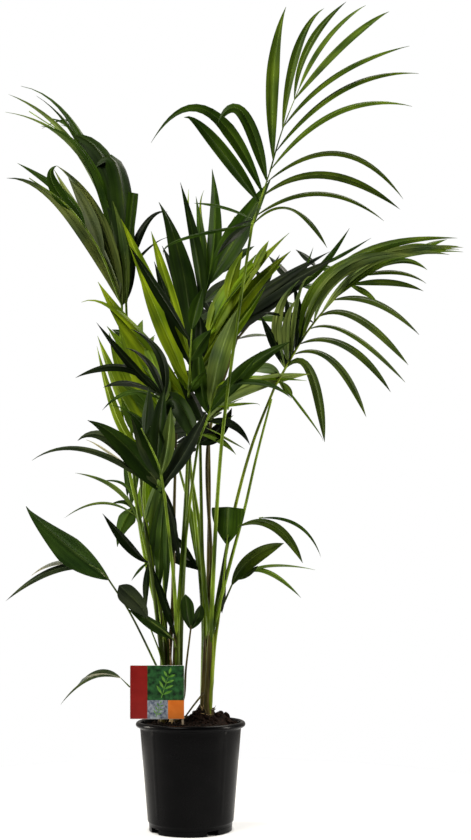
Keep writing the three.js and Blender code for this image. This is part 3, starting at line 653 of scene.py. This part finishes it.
class Shader:
    """The shader nodes of a material or a world. An input is a value, or an output that is linked to it."""

    def __init__(self, owner):
        owner.use_nodes = True
        self.nodes, self.links = owner.node_tree.nodes, owner.node_tree.links

    def feed(self, node, inputs):
        for name, value in inputs.items():
            if isinstance(value, bpy.types.NodeSocket):
                self.links.new(value, node.inputs[name])
            else:
                node.inputs[name].default_value = value

    def add(self, kind, output, inputs, **settings):
        """Adds a node, and returns one of its outputs."""
        node = self.nodes.new("ShaderNode" + kind)
        for name, value in settings.items():
            setattr(node, name, value)
        self.feed(node, inputs)
        return node.outputs[output]

    def noise(self, place, stretch, scale, detail):
        """Noise at a place that is multiplied by a stretch."""
        place = self.add("Mapping", "Vector", {"Vector": place, "Scale": stretch})
        return self.add("TexNoise", "Fac", {"Vector": place, "Scale": scale, "Detail": detail})

    def ramp(self, level, low, first, high, second):
        """Two colours, each from a level on, with a blend between."""
        output = self.add("ValToRGB", "Color", {"Fac": level})
        for stop, position, shade in zip(output.node.color_ramp.elements, (low, high), (first, second)):
            stop.position = position
            stop.color = shade
        return output

    def scaled(self, level, to_low, to_high, low=0, high=1):
        """A level between low and high, mapped to another pair of values."""
        inputs = {"Value": level, "From Min": low, "From Max": high, "To Min": to_low, "To Max": to_high}
        return self.add("MapRange", "Result", inputs)

    def bump(self, height, strength, distance):
        return self.add("Bump", "Normal", {"Height": height, "Strength": strength, "Distance": distance})


def mottled(name, first, second, size, roughness, grain, relief, upright=1, specular=0.5):
    """A material whose colour and roughness wander between two values over patches of a size in mm, with
    a fine relief of a grain in mm. Both are drawn out along z where upright is less than 1."""
    material = bpy.data.materials.new(name)
    shader = Shader(material)
    place = shader.add("TexCoord", "Object", {})
    patches = shader.noise(place, (1, 1, upright), 1 / (size * MM), 4)
    fine = shader.noise(place, (1, 1, upright), 1 / (grain * MM), 3)
    shader.feed(shader.nodes["Principled BSDF"], {
        "Base Color": shader.ramp(patches, 0.35, colour(first), 0.65, colour(second)),
        "Roughness": shader.scaled(patches, *roughness),
        "Normal": shader.bump(fine, relief, grain * MM),
        "Specular IOR Level": specular,
    })
    return material


def leaf_material(name, code):
    """A leaf's skin: fine veins along it, and a shade that wanders from leaf to leaf and along each."""
    material = bpy.data.materials.new(name)
    shader = Shader(material)
    grain = shader.add("Attribute", "Vector", {}, attribute_name="grain")
    veins = shader.noise(grain, VEIN_SCALE, 1, 4)
    patches = shader.noise(grain, PATCH_SCALE, 1, 1)
    shade = shader.ramp(patches, 0.3, colour(code, PATCH_DARK), 0.7, colour(code, PATCH_LIGHT))
    streaks = shader.ramp(veins, 0.32, VEIN_DARK, 0.62, (1, 1, 1, 1))
    shader.feed(shader.nodes["Principled BSDF"], {
        "Base Color": shader.add("VectorMath", "Vector", {0: shade, 1: streaks}, operation="MULTIPLY"),
        "Roughness": shader.scaled(patches, *LEAF_ROUGHNESS),
        "Normal": shader.bump(veins, 0.2, VEIN_DEPTH * MM),
        "Specular IOR Level": LEAF_SPECULAR,
    })
    return material


def leaf_tones():
    """For each tone, its three materials."""
    sides = ("upper", "under", "midrib")
    return {
        tone: [leaf_material(f"leaf_{tone}_{side}", code) for side, code in zip(sides, codes)]
        for tone, codes in TONES.items()
    }


LEAF = leaf_tones()
STALK = mottled("stalk", "#2a3e06", "#748e22", 18, (0.34, 0.5), 1.5, 0.1, 0.12, 0.12)
BROWN_STALK = mottled("stalk_brown", "#28220e", "#544e22", 16, (0.4, 0.55), 1.5, 0.15, 0.15, 0.12)
# Painted shade: a darker copy of the green stalk for low stalks down among the stems, where shade falls.
SHADED_STALK = mottled("stalk_painted_shade", "#1e2a08", "#4e6020", 16, (0.4, 0.55), 1.5, 0.15, 0.15, 0.12)
SHEATH = mottled("sheath", "#1c170a", "#5c5030", 7, (0.6, 0.8), 0.8, 0.5, 0.12, 0.1)
GREEN_SHEATH = mottled("sheath_green", "#202e04", "#70821c", 12, (0.4, 0.6), 0.9, 0.3, 0.12, 0.1)
# Painted shade: a darker copy of the green sheath, put on the stems on the left, which stand in shade.
SHADED_SHEATH = mottled("sheath_painted_shade", "#141c04", "#3e4c14", 12, (0.4, 0.6), 0.9, 0.3, 0.12, 0.08)
ROOT = mottled("root", "#120b06", "#4a3a26", 5, (0.6, 0.8), 0.6, 0.4, specular=0.2)
STRAW = mottled("straw", "#665030", "#b39a6c", 6, (0.6, 0.8), 0.6, 0.3, specular=0.2)
PLASTIC = mottled("pot_plastic", "#030304", "#060607", 40, (0.22, 0.3), 0.7, 0.05, specular=0.06)
SOIL = mottled("soil", "#050302", "#1e110a", 4, (0.9, 1.0), 1.2, 0.9, specular=0.1)
CARD_BACK = mottled("card_back", "#c9cdc6", "#dfe2dc", 30, (0.3, 0.4), 1.5, 0.03)
STAKE = mottled("stake", "#9c8c74", "#bcae98", 20, (0.4, 0.55), 1.0, 0.08)

# The stalks that aren't plain green: some are brown or a sheath green, and the low ones take the darker
# stalk copy, which is painted shade.
STALK_SKINS = {
    "mid_right": GREEN_SHEATH,
    **dict.fromkeys(("inner_right", "rear_right", "low_middle"), BROWN_STALK),
    **dict.fromkeys(("low_left", "low_left_small", "low_front_left", "low_right"), SHADED_STALK),
}

# Old stalks: places on the elevation, depths, radii and finish; two take the darker stalk copy, which is
# painted shade.
OLD_STALKS = [
    ([(-53, 203), (-55, 300), (-56, 360), (-57, 425)], (-8, -8), (6.5, 0.8), BROWN_STALK),
    ([(-36, 203), (-36, 280), (-38, 320), (-41, 366)], (-14, -10), (6.5, 0.8), STRAW),
    ([(-48, 290), (-60, 340), (-77, 386), (-85, 420)], (-20, -4), (1.8, 1.2), STALK),
    ([(-22, 203), (-20, 330), (-18, 400), (-3, 690), (2, 760)], (-4, 20), (5.5, 2.4), SHADED_STALK),
    ([(-44, 203), (-41, 330), (-35, 419), (-32, 600), (-28, 760)], (6, 30), (5, 2.4), BROWN_STALK),
    ([(-50, 203), (-52, 300), (-66, 420), (-93, 640), (-100, 760)], (0, -30), (5, 2.4), SHADED_STALK),
    ([(25, 262), (5, 237), (-13, 212)], (-14, -44), (2.0, 1.5), BROWN_STALK),
    ([(22, 203), (24, 330), (24, 400), (2, 669), (-6, 760)], (20, 40), (5, 2.4), STALK),
    ([(30, 203), (38.5, 262), (43, 320), (47, 362), (54.5, 414), (60, 470), (64, 520)],
     (-6, -14), (4.6, 1.6), GREEN_SHEATH),
]


# ---- The pot, the soil and the label ----


def turned(piece, profile, material, start=0.0, end=FULL_TURN, ribs=None):
    """A closed profile of radius and height turned round the pot's axis, all round or from start to end.
    The ribs say how much of the pot's upright ribs each place of the profile has."""
    whole = end - start >= FULL_TURN
    sides = round(POT_SIDES * (end - start) / FULL_TURN)
    turns = np.linspace(start, end, sides, endpoint=not whole)
    radius, height = np.asarray(profile, float).T
    reach = np.broadcast_to(radius, (len(turns), len(radius)))
    if ribs is not None:
        quarter = FULL_TURN / 4
        off = (turns + POT_RIB_TURN) % quarter
        off = np.minimum(off, quarter - off)[:, None] * STEP_RADIUS
        reach = reach + ribs * POT_RIB_HEIGHT * np.exp(-((off / POT_RIB_WIDTH) ** 2))
    x, y = reach * np.cos(turns)[:, None], reach * np.sin(turns)[:, None]
    piece.loft(np.stack([x, y, np.broadcast_to(height, reach.shape)], -1), material, closed=whole)


def wall_radius(height):
    share = (height - STEP_TOP) / (RIM_BOTTOM - STEP_TOP)
    return STEP_RADIUS + (NECK_RADIUS - STEP_RADIUS) * share


def arc(centre, radius, first, last, steps):
    """Places on an arc, between two angles in degrees."""
    turns = np.radians(np.linspace(first, last, steps))
    return [(centre[0] + radius * math.cos(turn), centre[1] + radius * math.sin(turn)) for turn in turns]


def make_pot():
    """The pot's body, the ring of its foot between the notches, and the disc in the middle of its foot.
    Edges are rounded by insets of a few tenths of a millimetre to a few millimetres."""
    piece = Piece()
    bead = (POT_HEIGHT - RIM_BOTTOM) / 2
    rim = arc((RIM_RADIUS - bead, RIM_BOTTOM + bead), bead, -80, 88, 12)
    top = RIM_BOTTOM - 3
    wall = [(wall_radius(height), height) for height in np.linspace(STEP_TOP + 2, top, 24)]
    inside = [(wall_radius(height) - POT_WALL, height) for height in np.linspace(top, STEP_TOP, 12)]
    profile = [
        (AXIS, RECESS_TOP - 0.5), (FOOT_RADIUS - 1, RECESS_TOP - 0.5), (FOOT_RADIUS, RECESS_TOP + 0.5),
        (FOOT_RADIUS + 0.3, STEP_TOP - 3), (STEP_RADIUS - 1, STEP_TOP - 1), (STEP_RADIUS, STEP_TOP + 0.5),
        *wall,
        (NECK_RADIUS, RIM_BOTTOM - 1), (NECK_RADIUS + 1, RIM_BOTTOM),
        *rim,
        (NECK_RADIUS + 1.5, POT_HEIGHT - 0.3), (NECK_RADIUS - 1, POT_HEIGHT - 2.5),
        *inside,
        (FOOT_RADIUS - POT_WALL, FLOOR_HEIGHT), (AXIS, FLOOR_HEIGHT),
    ]
    heights = np.array(profile)[:, 1]
    outside = np.arange(len(profile)) < profile.index(wall[-1]) + 1
    low, high = (heights - POT_RIB_BOTTOM) / 12, (RIM_BOTTOM + 2 - heights) / 6
    ribs = outside * np.clip(low, 0, 1) * np.clip(high, 0, 1)
    turned(piece, profile, PLASTIC, ribs=ribs)
    foot = [(RECESS_OUTSIDE, 0.4), (RECESS_OUTSIDE + 0.5, 0), (FOOT_RADIUS - 1.2, 0)]
    foot += [(FOOT_RADIUS - 0.5, 0.5), (FOOT_RADIUS - 0.2, RECESS_TOP), (RECESS_OUTSIDE, RECESS_TOP)]
    spacing = FULL_TURN / NOTCH_COUNT
    for number in range(NOTCH_COUNT):
        start = NOTCH_TURN + number * spacing + NOTCH_HALF_TURN
        turned(piece, foot, PLASTIC, start, start + spacing - 2 * NOTCH_HALF_TURN)
    disc = [(AXIS, 0), (RECESS_INSIDE - 0.5, 0), (RECESS_INSIDE, 0.5), (RECESS_INSIDE, RECESS_TOP)]
    turned(piece, [*disc, (AXIS, RECESS_TOP)], PLASTIC)
    piece.make("pot", "pot", ["pot"], sharp=40)


def lump(centre, radius, chance):
    """An uneven rounded clod: corners and faces."""
    shape = bmesh.new()
    bmesh.ops.create_icosphere(shape, subdivisions=2, radius=1)
    corners = np.array([corner.co[:] for corner in shape.verts])
    faces = [[corner.index for corner in face.verts] for face in shape.faces]
    shape.free()
    shift = chance.uniform(0, 99, 3)
    swell = [1 + CLOD_UNEVENNESS * noise.noise(Vector(corner * 1.4 + shift)) for corner in corners]
    corners = corners * np.array(swell)[:, None] * chance.uniform(0.7, 1.2, 3) * radius
    return corners + centre, faces


def near(x, y, place_x, place_y, reach):
    """One at a place, fading to nothing round it."""
    return math.exp(-((x - place_x) ** 2 + (y - place_y) ** 2) / reach**2)


def soil_height(x, y):
    """The height of the soil's surface: a low mound with heaps, and crumbs of two sizes."""
    radius = math.hypot(x, y)
    mound = np.interp(radius, [0, SOIL_FLAT_RADIUS, SOIL_RADIUS], [SOIL_TOP + 1, SOIL_TOP, SOIL_EDGE - 1])
    crumbs = sum(high * noise.noise(Vector((x / size, y / size, layer))) for high, size, layer in CRUMBS)
    heap = sum(height * near(x, y, place_x, place_y, reach) for place_x, place_y, height, reach in HEAPS)
    return mound + crumbs + heap - 1.5


def make_soil():
    """The soil, with clods strewn over it, which are larger on the heaps."""
    piece = Piece()
    chance = np.random.default_rng(SEED)
    turns = np.linspace(0, FULL_TURN, SOIL_SIDES, endpoint=False)
    around = np.column_stack([np.cos(turns), np.sin(turns)])
    rings = [[(x, y, FLOOR_HEIGHT + 1) for x, y in SOIL_FOOT_RADIUS * around]]
    for reach in [*np.linspace(2, SOIL_RADIUS, SOIL_RINGS)[::-1], AXIS]:
        rings.append([(x, y, soil_height(x, y)) for x, y in reach * around])
    piece.loft(rings, SOIL)
    for _ in range(CLODS):
        reach = (SOIL_RADIUS - 4) * math.sqrt(chance.uniform())
        turn = chance.uniform(0, FULL_TURN)
        x, y = reach * math.cos(turn), reach * math.sin(turn)
        heaped = sum(near(x, y, place_x, place_y, 1.25 * reach) for place_x, place_y, _, reach in HEAPS)
        radius = chance.uniform(1.2, 3.4) + 4.5 * heaped * chance.uniform()
        centre = np.array([x, y, soil_height(x, y) + radius * 0.25])
        corners, faces = lump(centre, radius, chance)
        piece.add(corners, faces, [SOIL] * len(faces))
    piece.make("soil", "soil", ["soil"], sharp=70)


def outward(chance):
    """A level direction by chance."""
    turn = chance.uniform(0, FULL_TURN)
    return np.array([math.cos(turn), math.sin(turn), 0])


def add_prop_root(piece, centre, radius, chance):
    """A root that leans out from a stem into the soil."""
    out = outward(chance)
    high = centre + out * radius * 0.8 + UP * chance.uniform(10, 34)
    reach = chance.uniform(5, 16)
    low = high + out * reach
    low[2] = SOIL_TOP - 6
    bend = (high + low) / 2 + out * reach * chance.uniform(0, 0.3)
    thick = chance.uniform(0.9, 1.7)
    skin = ROOT if chance.uniform() < 0.75 else STRAW
    limb(piece, smooth([high, bend, low], 8), np.linspace(thick, thick * 0.7, 8), skin, 6)


def add_flap(piece, centre, radius, chance):
    """A dry flap of an old sheath, or a loose fibre, at the foot of a stem."""
    out = outward(chance)
    aside = np.array([-out[1], out[0], 0]) * chance.normal(0, 5)
    low = centre + out * radius * chance.uniform(0.7, 1.0) + UP * chance.uniform(0, 5)
    length = chance.uniform(14, 38)
    lean = chance.uniform(0.1, 0.6)
    middle = low + out * length * lean * 0.35 + UP * length * 0.6
    end = middle + out * length * lean * 0.5 + aside + UP * length * chance.uniform(-0.25, 0.4)
    line = smooth([low, middle, end], 7)
    skin = STRAW if chance.uniform() < 0.22 else SHEATH
    if chance.uniform() < 0.75:
        leaf(piece, line, chance.uniform(3, 8), [skin] * 3, chance, blunt=1.3, base=0.8)
    else:
        limb(piece, line, np.linspace(1.0, 0.3, 7), STRAW, 5)


def make_fibres():
    """Prop roots round the feet of the stems, dry flaps of old sheaths and a few loose fibres."""
    piece = Piece()
    chance = np.random.default_rng(SEED + 1)
    for foot, _, depth, radius in STEMS.values():
        centre = seen([(*foot, depth[0])])[0]
        for _ in range(PROP_ROOTS):
            add_prop_root(piece, centre, radius[0], chance)
        for _ in range(SHEATH_FLAPS):
            add_flap(piece, centre, radius[0], chance)
    piece.make("stem_fibres", "stem", [])


def make_old_stalks():
    """Stubs, thin dead stalks and sheaths among the stems that carry no frond any more."""
    piece = Piece()
    for places, depth, radii, material in OLD_STALKS:
        limb(piece, smooth(seen(with_depth(places, depth)), 24), np.linspace(*radii, 24), material)
    piece.make("old_stalks", "stalk", [])


def slab(piece, outline, front, back, material, centre):
    """A flat slab of an outline of x and z, from a front depth to a back one."""
    rings = [[(x, depth, z) for x, z in outline] for depth in (front, back)]
    piece.loft(np.array(rings) + centre, material)


def plate(piece, low, high, corner, front, back, material, centre):
    """A slab between two corners of x and z, with its own corners rounded."""
    outline = []
    for turn, right, top in ((180, 0, 0), (270, 1, 0), (0, 1, 1), (90, 0, 1)):
        x = high[0] - corner if right else low[0] + corner
        z = high[1] - corner if top else low[1] + corner
        outline += arc((x, z), corner, turn, turn + 90, 5)
    slab(piece, outline[::-1], front, back, material, centre)


def make_sprig(piece, root, length, pairs, material):
    """A flat leaning sprig with pairs of leaves and one at its tip."""
    run = np.array([math.cos(SPRIG_LEAN), 0, math.sin(SPRIG_LEAN)]) * length
    leaves = [(SPRIG_STEM, 0)]
    for pair in range(pairs):
        share = SPRIG_STEM * (pair + 0.5) / pairs
        leaves += [(share, 1), (share, -1)]
    thin = np.array([0, 0.12, 0])
    for share, side in leaves:
        turn = SPRIG_LEAN + side * SPRIG_LEAF_TURN
        way = np.array([math.cos(turn), 0, math.sin(turn)])
        start = root + run * share + way * 1.2
        line = np.linspace(start, start + way * length * (0.36 - 0.16 * share), 10)
        width = 0.038 * length * np.sin(np.pi * np.linspace(0.03, 0.98, 10))
        across = np.cross(way, [0, 1, 0]) * width[:, None]
        left, right = line + across, line - across
        piece.loft(np.stack([left, right, right + thin, left + thin], 1), material)
    limb(piece, np.linspace(root, root + run * SPRIG_STEM, 6), np.linspace(0.7, 0.3, 6), material, 6)


def make_label():
    """The card with its prints, and the stake that holds it."""
    piece = Piece()
    centre = seen([CARD_PLACE])[0]
    half_x, half_z, half_y = CARD_WIDTH / 2, CARD_HEIGHT / 2, CARD_THICKNESS / 2
    print_depth = -half_y - PRINT_THICKNESS
    inks = {name: mottled(f"card_{name}", *ink, (0.25, 0.35), 1.0, 0.02) for name, ink in INKS.items()}
    plate(piece, (-half_x, -half_z), (half_x, half_z), CARD_CORNER, -half_y, half_y, CARD_BACK, centre)
    right, high = half_x - PRINT_MARGIN, half_z - PRINT_MARGIN
    left, low = -right, -high
    band_x, split_x, split_z = -half_x * 0.36, half_x * 0.4, -half_z * 0.3
    prints = (
        ((left, low), (band_x, high), "band"),
        ((band_x, split_z), (right, high), "picture"),
        ((band_x, low), (split_x, split_z), "dusk"),
        ((split_x, low), (right, split_z), "block"),
    )
    for first, last, ink in prints:
        plate(piece, first, last, PRINT_CORNER, print_depth, -half_y, inks[ink], centre)
    for x, z, length, pairs in ((8, -10, 56, 4), (-2, -46, 30, 3)):
        root = centre + np.array([x, print_depth - 0.15, z])
        make_sprig(piece, root, length, pairs, inks["motif"])
    piece.make("label_card", "card", ["label_card"], sharp=30)

    stake = Piece()
    half_width, half_depth, half_height = (size / 2 for size in STAKE_SIZE)
    outline = [(-half_width * 0.2, half_height), (half_width, half_height), (half_width, -half_height)]
    outline += [(half_width * 0.8, -half_height), (-half_width * 0.2, 0)]
    slab(stake, outline, -half_depth, half_depth, STAKE, seen([STAKE_PLACE])[0])
    stake.make("label_stake", "stake", ["label_stake"], sharp=30)


# ---- The palm ----


def stem_line(name, shares):
    foot, top, depth, _ = STEMS[name]
    ends = seen([(*foot, depth[0]), (*top, depth[1])])
    ends[0, 2] = SOIL_TOP
    return ends[0] + (ends[1] - ends[0]) * np.asarray(shares, float)[:, None]


def make_stem(name, chance):
    """A stem: a fibrous core, wrapped by the bases of its stalks."""
    piece = Piece()
    first, last = STEMS[name][3]
    shares = np.linspace(-0.03, 1, STEM_STEPS)
    flare = 1 + STEM_FLARE * np.exp(-((shares / 0.06) ** 2))
    radii = (first + (last - first) * shares) * flare * np.interp(shares, [0.8, 1], [0.9, 0.3])
    turns = np.linspace(0, FULL_TURN, STEM_SIDES, endpoint=False)
    bark = [
        [noise.noise(Vector((3 * math.cos(turn), 3 * math.sin(turn), share * 5))) for turn in turns]
        for share in shares
    ]
    limb(piece, stem_line(name, shares), radii, SHEATH, STEM_SIDES, 1 + BARK_RELIEF * np.array(bark))
    # The stems on the left wrap in the darker sheath copy: painted shade.
    green = SHADED_SHEATH if "left" in name else GREEN_SHEATH
    for number, material in enumerate((green, SHEATH, green, BROWN_STALK, green)):
        start = chance.uniform(0, 0.12) if number % 2 else chance.uniform(0.02, 0.3)
        rows = np.linspace(start, 1.0, WRAP_STEPS)
        wrap = number * WRAP_TURN + chance.uniform(-0.3, 0.3) + rows * chance.uniform(-0.8, 0.8)
        out = np.column_stack([np.cos(wrap), np.sin(wrap), np.zeros(len(rows))])
        reach = first + (last - first) * rows
        sheath = stem_line(name, rows) + out * (reach * 0.62)[:, None]
        thick = reach * np.interp(rows, [start, start + 0.15, 0.85, 1], [0.2, 0.55, 0.5, 0.1])
        limb(piece, sheath, thick, material, STALK_SIDES)
    piece.make(f"stem_{name}", "stem", [f"stem_{name}"], sharp=60)


def stalk_route(frond):
    """The stalk's route in space, from inside its stem to the foot of the rib."""
    foot, top, depth, _ = STEMS[frond["stem"]]
    foot, top = np.array([*foot, depth[0]]), np.array([*top, depth[1]])
    start = foot + (top - foot) * frond["share"]
    places = [start[:2], *frond["stalk"], frond["rib"][0]]
    route = seen(with_depth(places, (start[2], frond["depth"][0])))
    if frond["share"] < 1:
        return route
    side = np.array([*unit((route[1] - route[0])[:2]), 0])
    inside = stem_line(frond["stem"], [0.42, 0.66, 0.88]) + side * np.array([[4.0], [3.4], [2.0]])
    return np.vstack([inside, route[1:]])


def make_stalk(name, frond):
    """A grooved stalk, slim where it leaves its stem below the top, and its twin if it has one."""
    piece = Piece()
    slim = frond["share"] < 1
    share = np.linspace(0, 1, STALK_STEPS)
    first, last = SLIM_STALK_RADII if slim else STALK_RADII
    radii = first + (last - first) * share**0.7
    if not slim:
        radii = radii * np.interp(share, [0, 0.12], [0.35, 1])
    turns = np.linspace(0, FULL_TURN, STALK_SIDES, endpoint=False)
    groove = 1 - STALK_GROOVE * np.exp(-(((turns - math.pi * 0.62) / 0.5) ** 2))
    line = smooth(stalk_route(frond), STALK_STEPS)
    limb(piece, line, radii, STALK_SKINS.get(name, STALK), STALK_SIDES, groove)
    if frond["twin"]:
        route = seen(with_depth(frond["twin"], (-20, frond["depth"][0] - 8)))
        limb(piece, smooth(route, STALK_STEPS), radii * 0.85, STALK, STALK_SIDES)
    piece.make(f"stalk_{name}", "stalk", [f"stalk_{name}"])


def rib_places(frond, steps):
    return smooth(with_depth(frond["rib"], frond["depth"]), steps)


def leaflet_line(root, tip, arch, peak):
    """A leaflet's line: up and over from its root, and down to its tip, in even steps."""
    turn = np.linspace(0, 1, 3 * LEAF_STEPS)[:, None]
    run = tip - root
    lift = np.array([-run[1], run[0], 0]) * (1 if run[0] >= 0 else -1)
    bend = root + run * peak + arch * lift
    curve = seen((1 - turn) ** 2 * root + 2 * turn * (1 - turn) * bend + turn**2 * tip)
    return evenly(curve, LEAF_STEPS + 1)


def make_frond(name, frond, chance):
    """A rib with its leaflets."""
    piece = Piece()
    thick = SLIM_RIB_RADIUS if frond["share"] < 1 else RIB_RADIUS
    rib = seen(rib_places(frond, RIB_STEPS))
    limb(piece, rib, np.linspace(thick, thick * RIB_TIP, RIB_STEPS), STALK_SKINS.get(name, STALK))
    for row in frond["fans"]:
        count, tips = row["count"], row["tips"]
        scattered = count != len(tips)
        if scattered:
            tips = smooth(tips, count)
        for number in range(count):
            share = number / max(count - 1, 1)
            root = rib_places(frond, [spread(row["roots"], share)])[0]
            behind = spread(row["depth"], share) * chance.uniform(0.7, 1.2)
            tip = np.array([*tips[number], root[2] + behind])
            if scattered:
                tip[:2] += chance.normal(0, TIP_SCATTER, 2)
            line = leaflet_line(root, tip, spread(row["arch"], share), spread(row["peak"], share))
            width = spread(row["widths"], share) * LEAFLET_WIDENING
            leaf(piece, line, width, LEAF[row["tone"]], chance, **row["shape"])
    piece.make(f"frond_{name}", "blade", [f"frond_{name}"])


def make_palm():
    for number, name in enumerate(STEMS):
        make_stem(name, np.random.default_rng(SEED + 10 + number))
    for number, (name, frond) in enumerate(FRONDS.items()):
        if frond["stem"]:
            make_stalk(name, frond)
        make_frond(name, frond, np.random.default_rng(SEED + 100 + number))


# ---- The studio ----


def make_floor():
    """A pale disc that glows a little round the pot, so that it is as pale as the backdrop. Under the pot's
    foot it doesn't glow, which is painted shade under the pot.
    """
    mesh = bpy.data.meshes.new("floor")
    turns = np.linspace(0, FULL_TURN, 96, endpoint=False)
    corners = [(FLOOR_RADIUS * math.cos(turn), FLOOR_RADIUS * math.sin(turn), 0) for turn in turns]
    mesh.from_pydata(corners, [], [list(range(len(corners)))])
    pale = mottled("floor", "#bababa", "#bcbcbb", 400, (0.8, 0.9), 20, 0.01, specular=0)
    shader = Shader(pale)
    place = shader.add("TexCoord", "Object", {})
    reach = shader.add("VectorMath", "Value", {0: place}, operation="LENGTH")
    # Painted shade: the glow fades to nothing inside the pot's foot, so the floor is dark under the pot and
    # in its notches.
    glow = shader.scaled(reach, 0, FLOOR_GLOW, (FOOT_RADIUS - 5) * MM, (FOOT_RADIUS + 5) * MM)
    surface = shader.nodes["Principled BSDF"]
    shader.feed(surface, {"Emission Color": (1, 1, 1, 1), "Emission Strength": glow})
    mesh.materials.append(pale)
    floor = bpy.data.objects.new("floor", mesh)
    bpy.context.scene.collection.objects.link(floor)


def softbox(name, place, target, size, power, gloss=1):
    light = bpy.data.lights.new(name, "AREA")
    light.shape = "RECTANGLE"
    light.size, light.size_y = size
    light.energy = power
    light.specular_factor = gloss
    light.color = WARM
    lamp = bpy.data.objects.new(name, light)
    lamp.location = place
    lamp.rotation_euler = (Vector(target) - Vector(place)).to_track_quat("-Z", "Y").to_euler()
    lamp.visible_camera = False
    bpy.context.scene.collection.objects.link(lamp)


def make_light():
    """High soft boxes, two upright strips that the pot mirrors, and a world that glows from behind."""
    softbox("light_key", (-1.3, -1.6, 3.3), (0, 0, 0.8), (1.5, 1.5), 122)
    softbox("light_back", (1.2, 1.3, 3.2), (0, 0, 0.9), (1.6, 1.6), 80, gloss=0.08)
    softbox("strip_left", (-2.3, 0.35, 0.6), (0, 0, 0.1), (0.4, 1.3), 75)
    softbox("strip_right", (2.3, -0.3, 0.6), (0, 0, 0.1), (0.3, 1.3), 65)
    world = bpy.data.worlds.new("studio")
    bpy.context.scene.world = world
    shader = Shader(world)
    place = shader.add("TexCoord", "Generated", {})
    behind = shader.add("SeparateXYZ", "Y", {"Vector": place})
    glow = shader.nodes["Background"]
    strength = shader.scaled(behind, WORLD_FRONT, WORLD_BACK, -0.6, 1.0)
    shader.feed(glow, {"Color": (*WARM, 1), "Strength": strength})
    backdrop = shader.add("Background", "Background", {"Color": (1, 1, 1, 1)})
    ray = shader.add("LightPath", "Is Camera Ray", {})
    mix = shader.add("MixShader", "Shader", {"Fac": ray, 1: glow.outputs["Background"], 2: backdrop})
    shader.feed(shader.nodes["World Output"], {"Surface": mix})
    bpy.context.scene.view_settings.view_transform = "Standard"


def make_camera():
    lens = bpy.data.cameras.new("camera")
    lens.lens = LENS_MM
    lens.sensor_width = SENSOR_MM
    lens.shift_y = SHIFT_UP
    camera = bpy.data.objects.new("camera", lens)
    camera.location = EYE * MM
    camera.rotation_euler = (math.pi / 2, 0, 0)
    bpy.context.scene.collection.objects.link(camera)
    bpy.context.scene.camera = camera


make_camera()
make_floor()
make_light()
make_pot()
make_soil()
make_fibres()
make_old_stalks()
make_label()
make_palm()
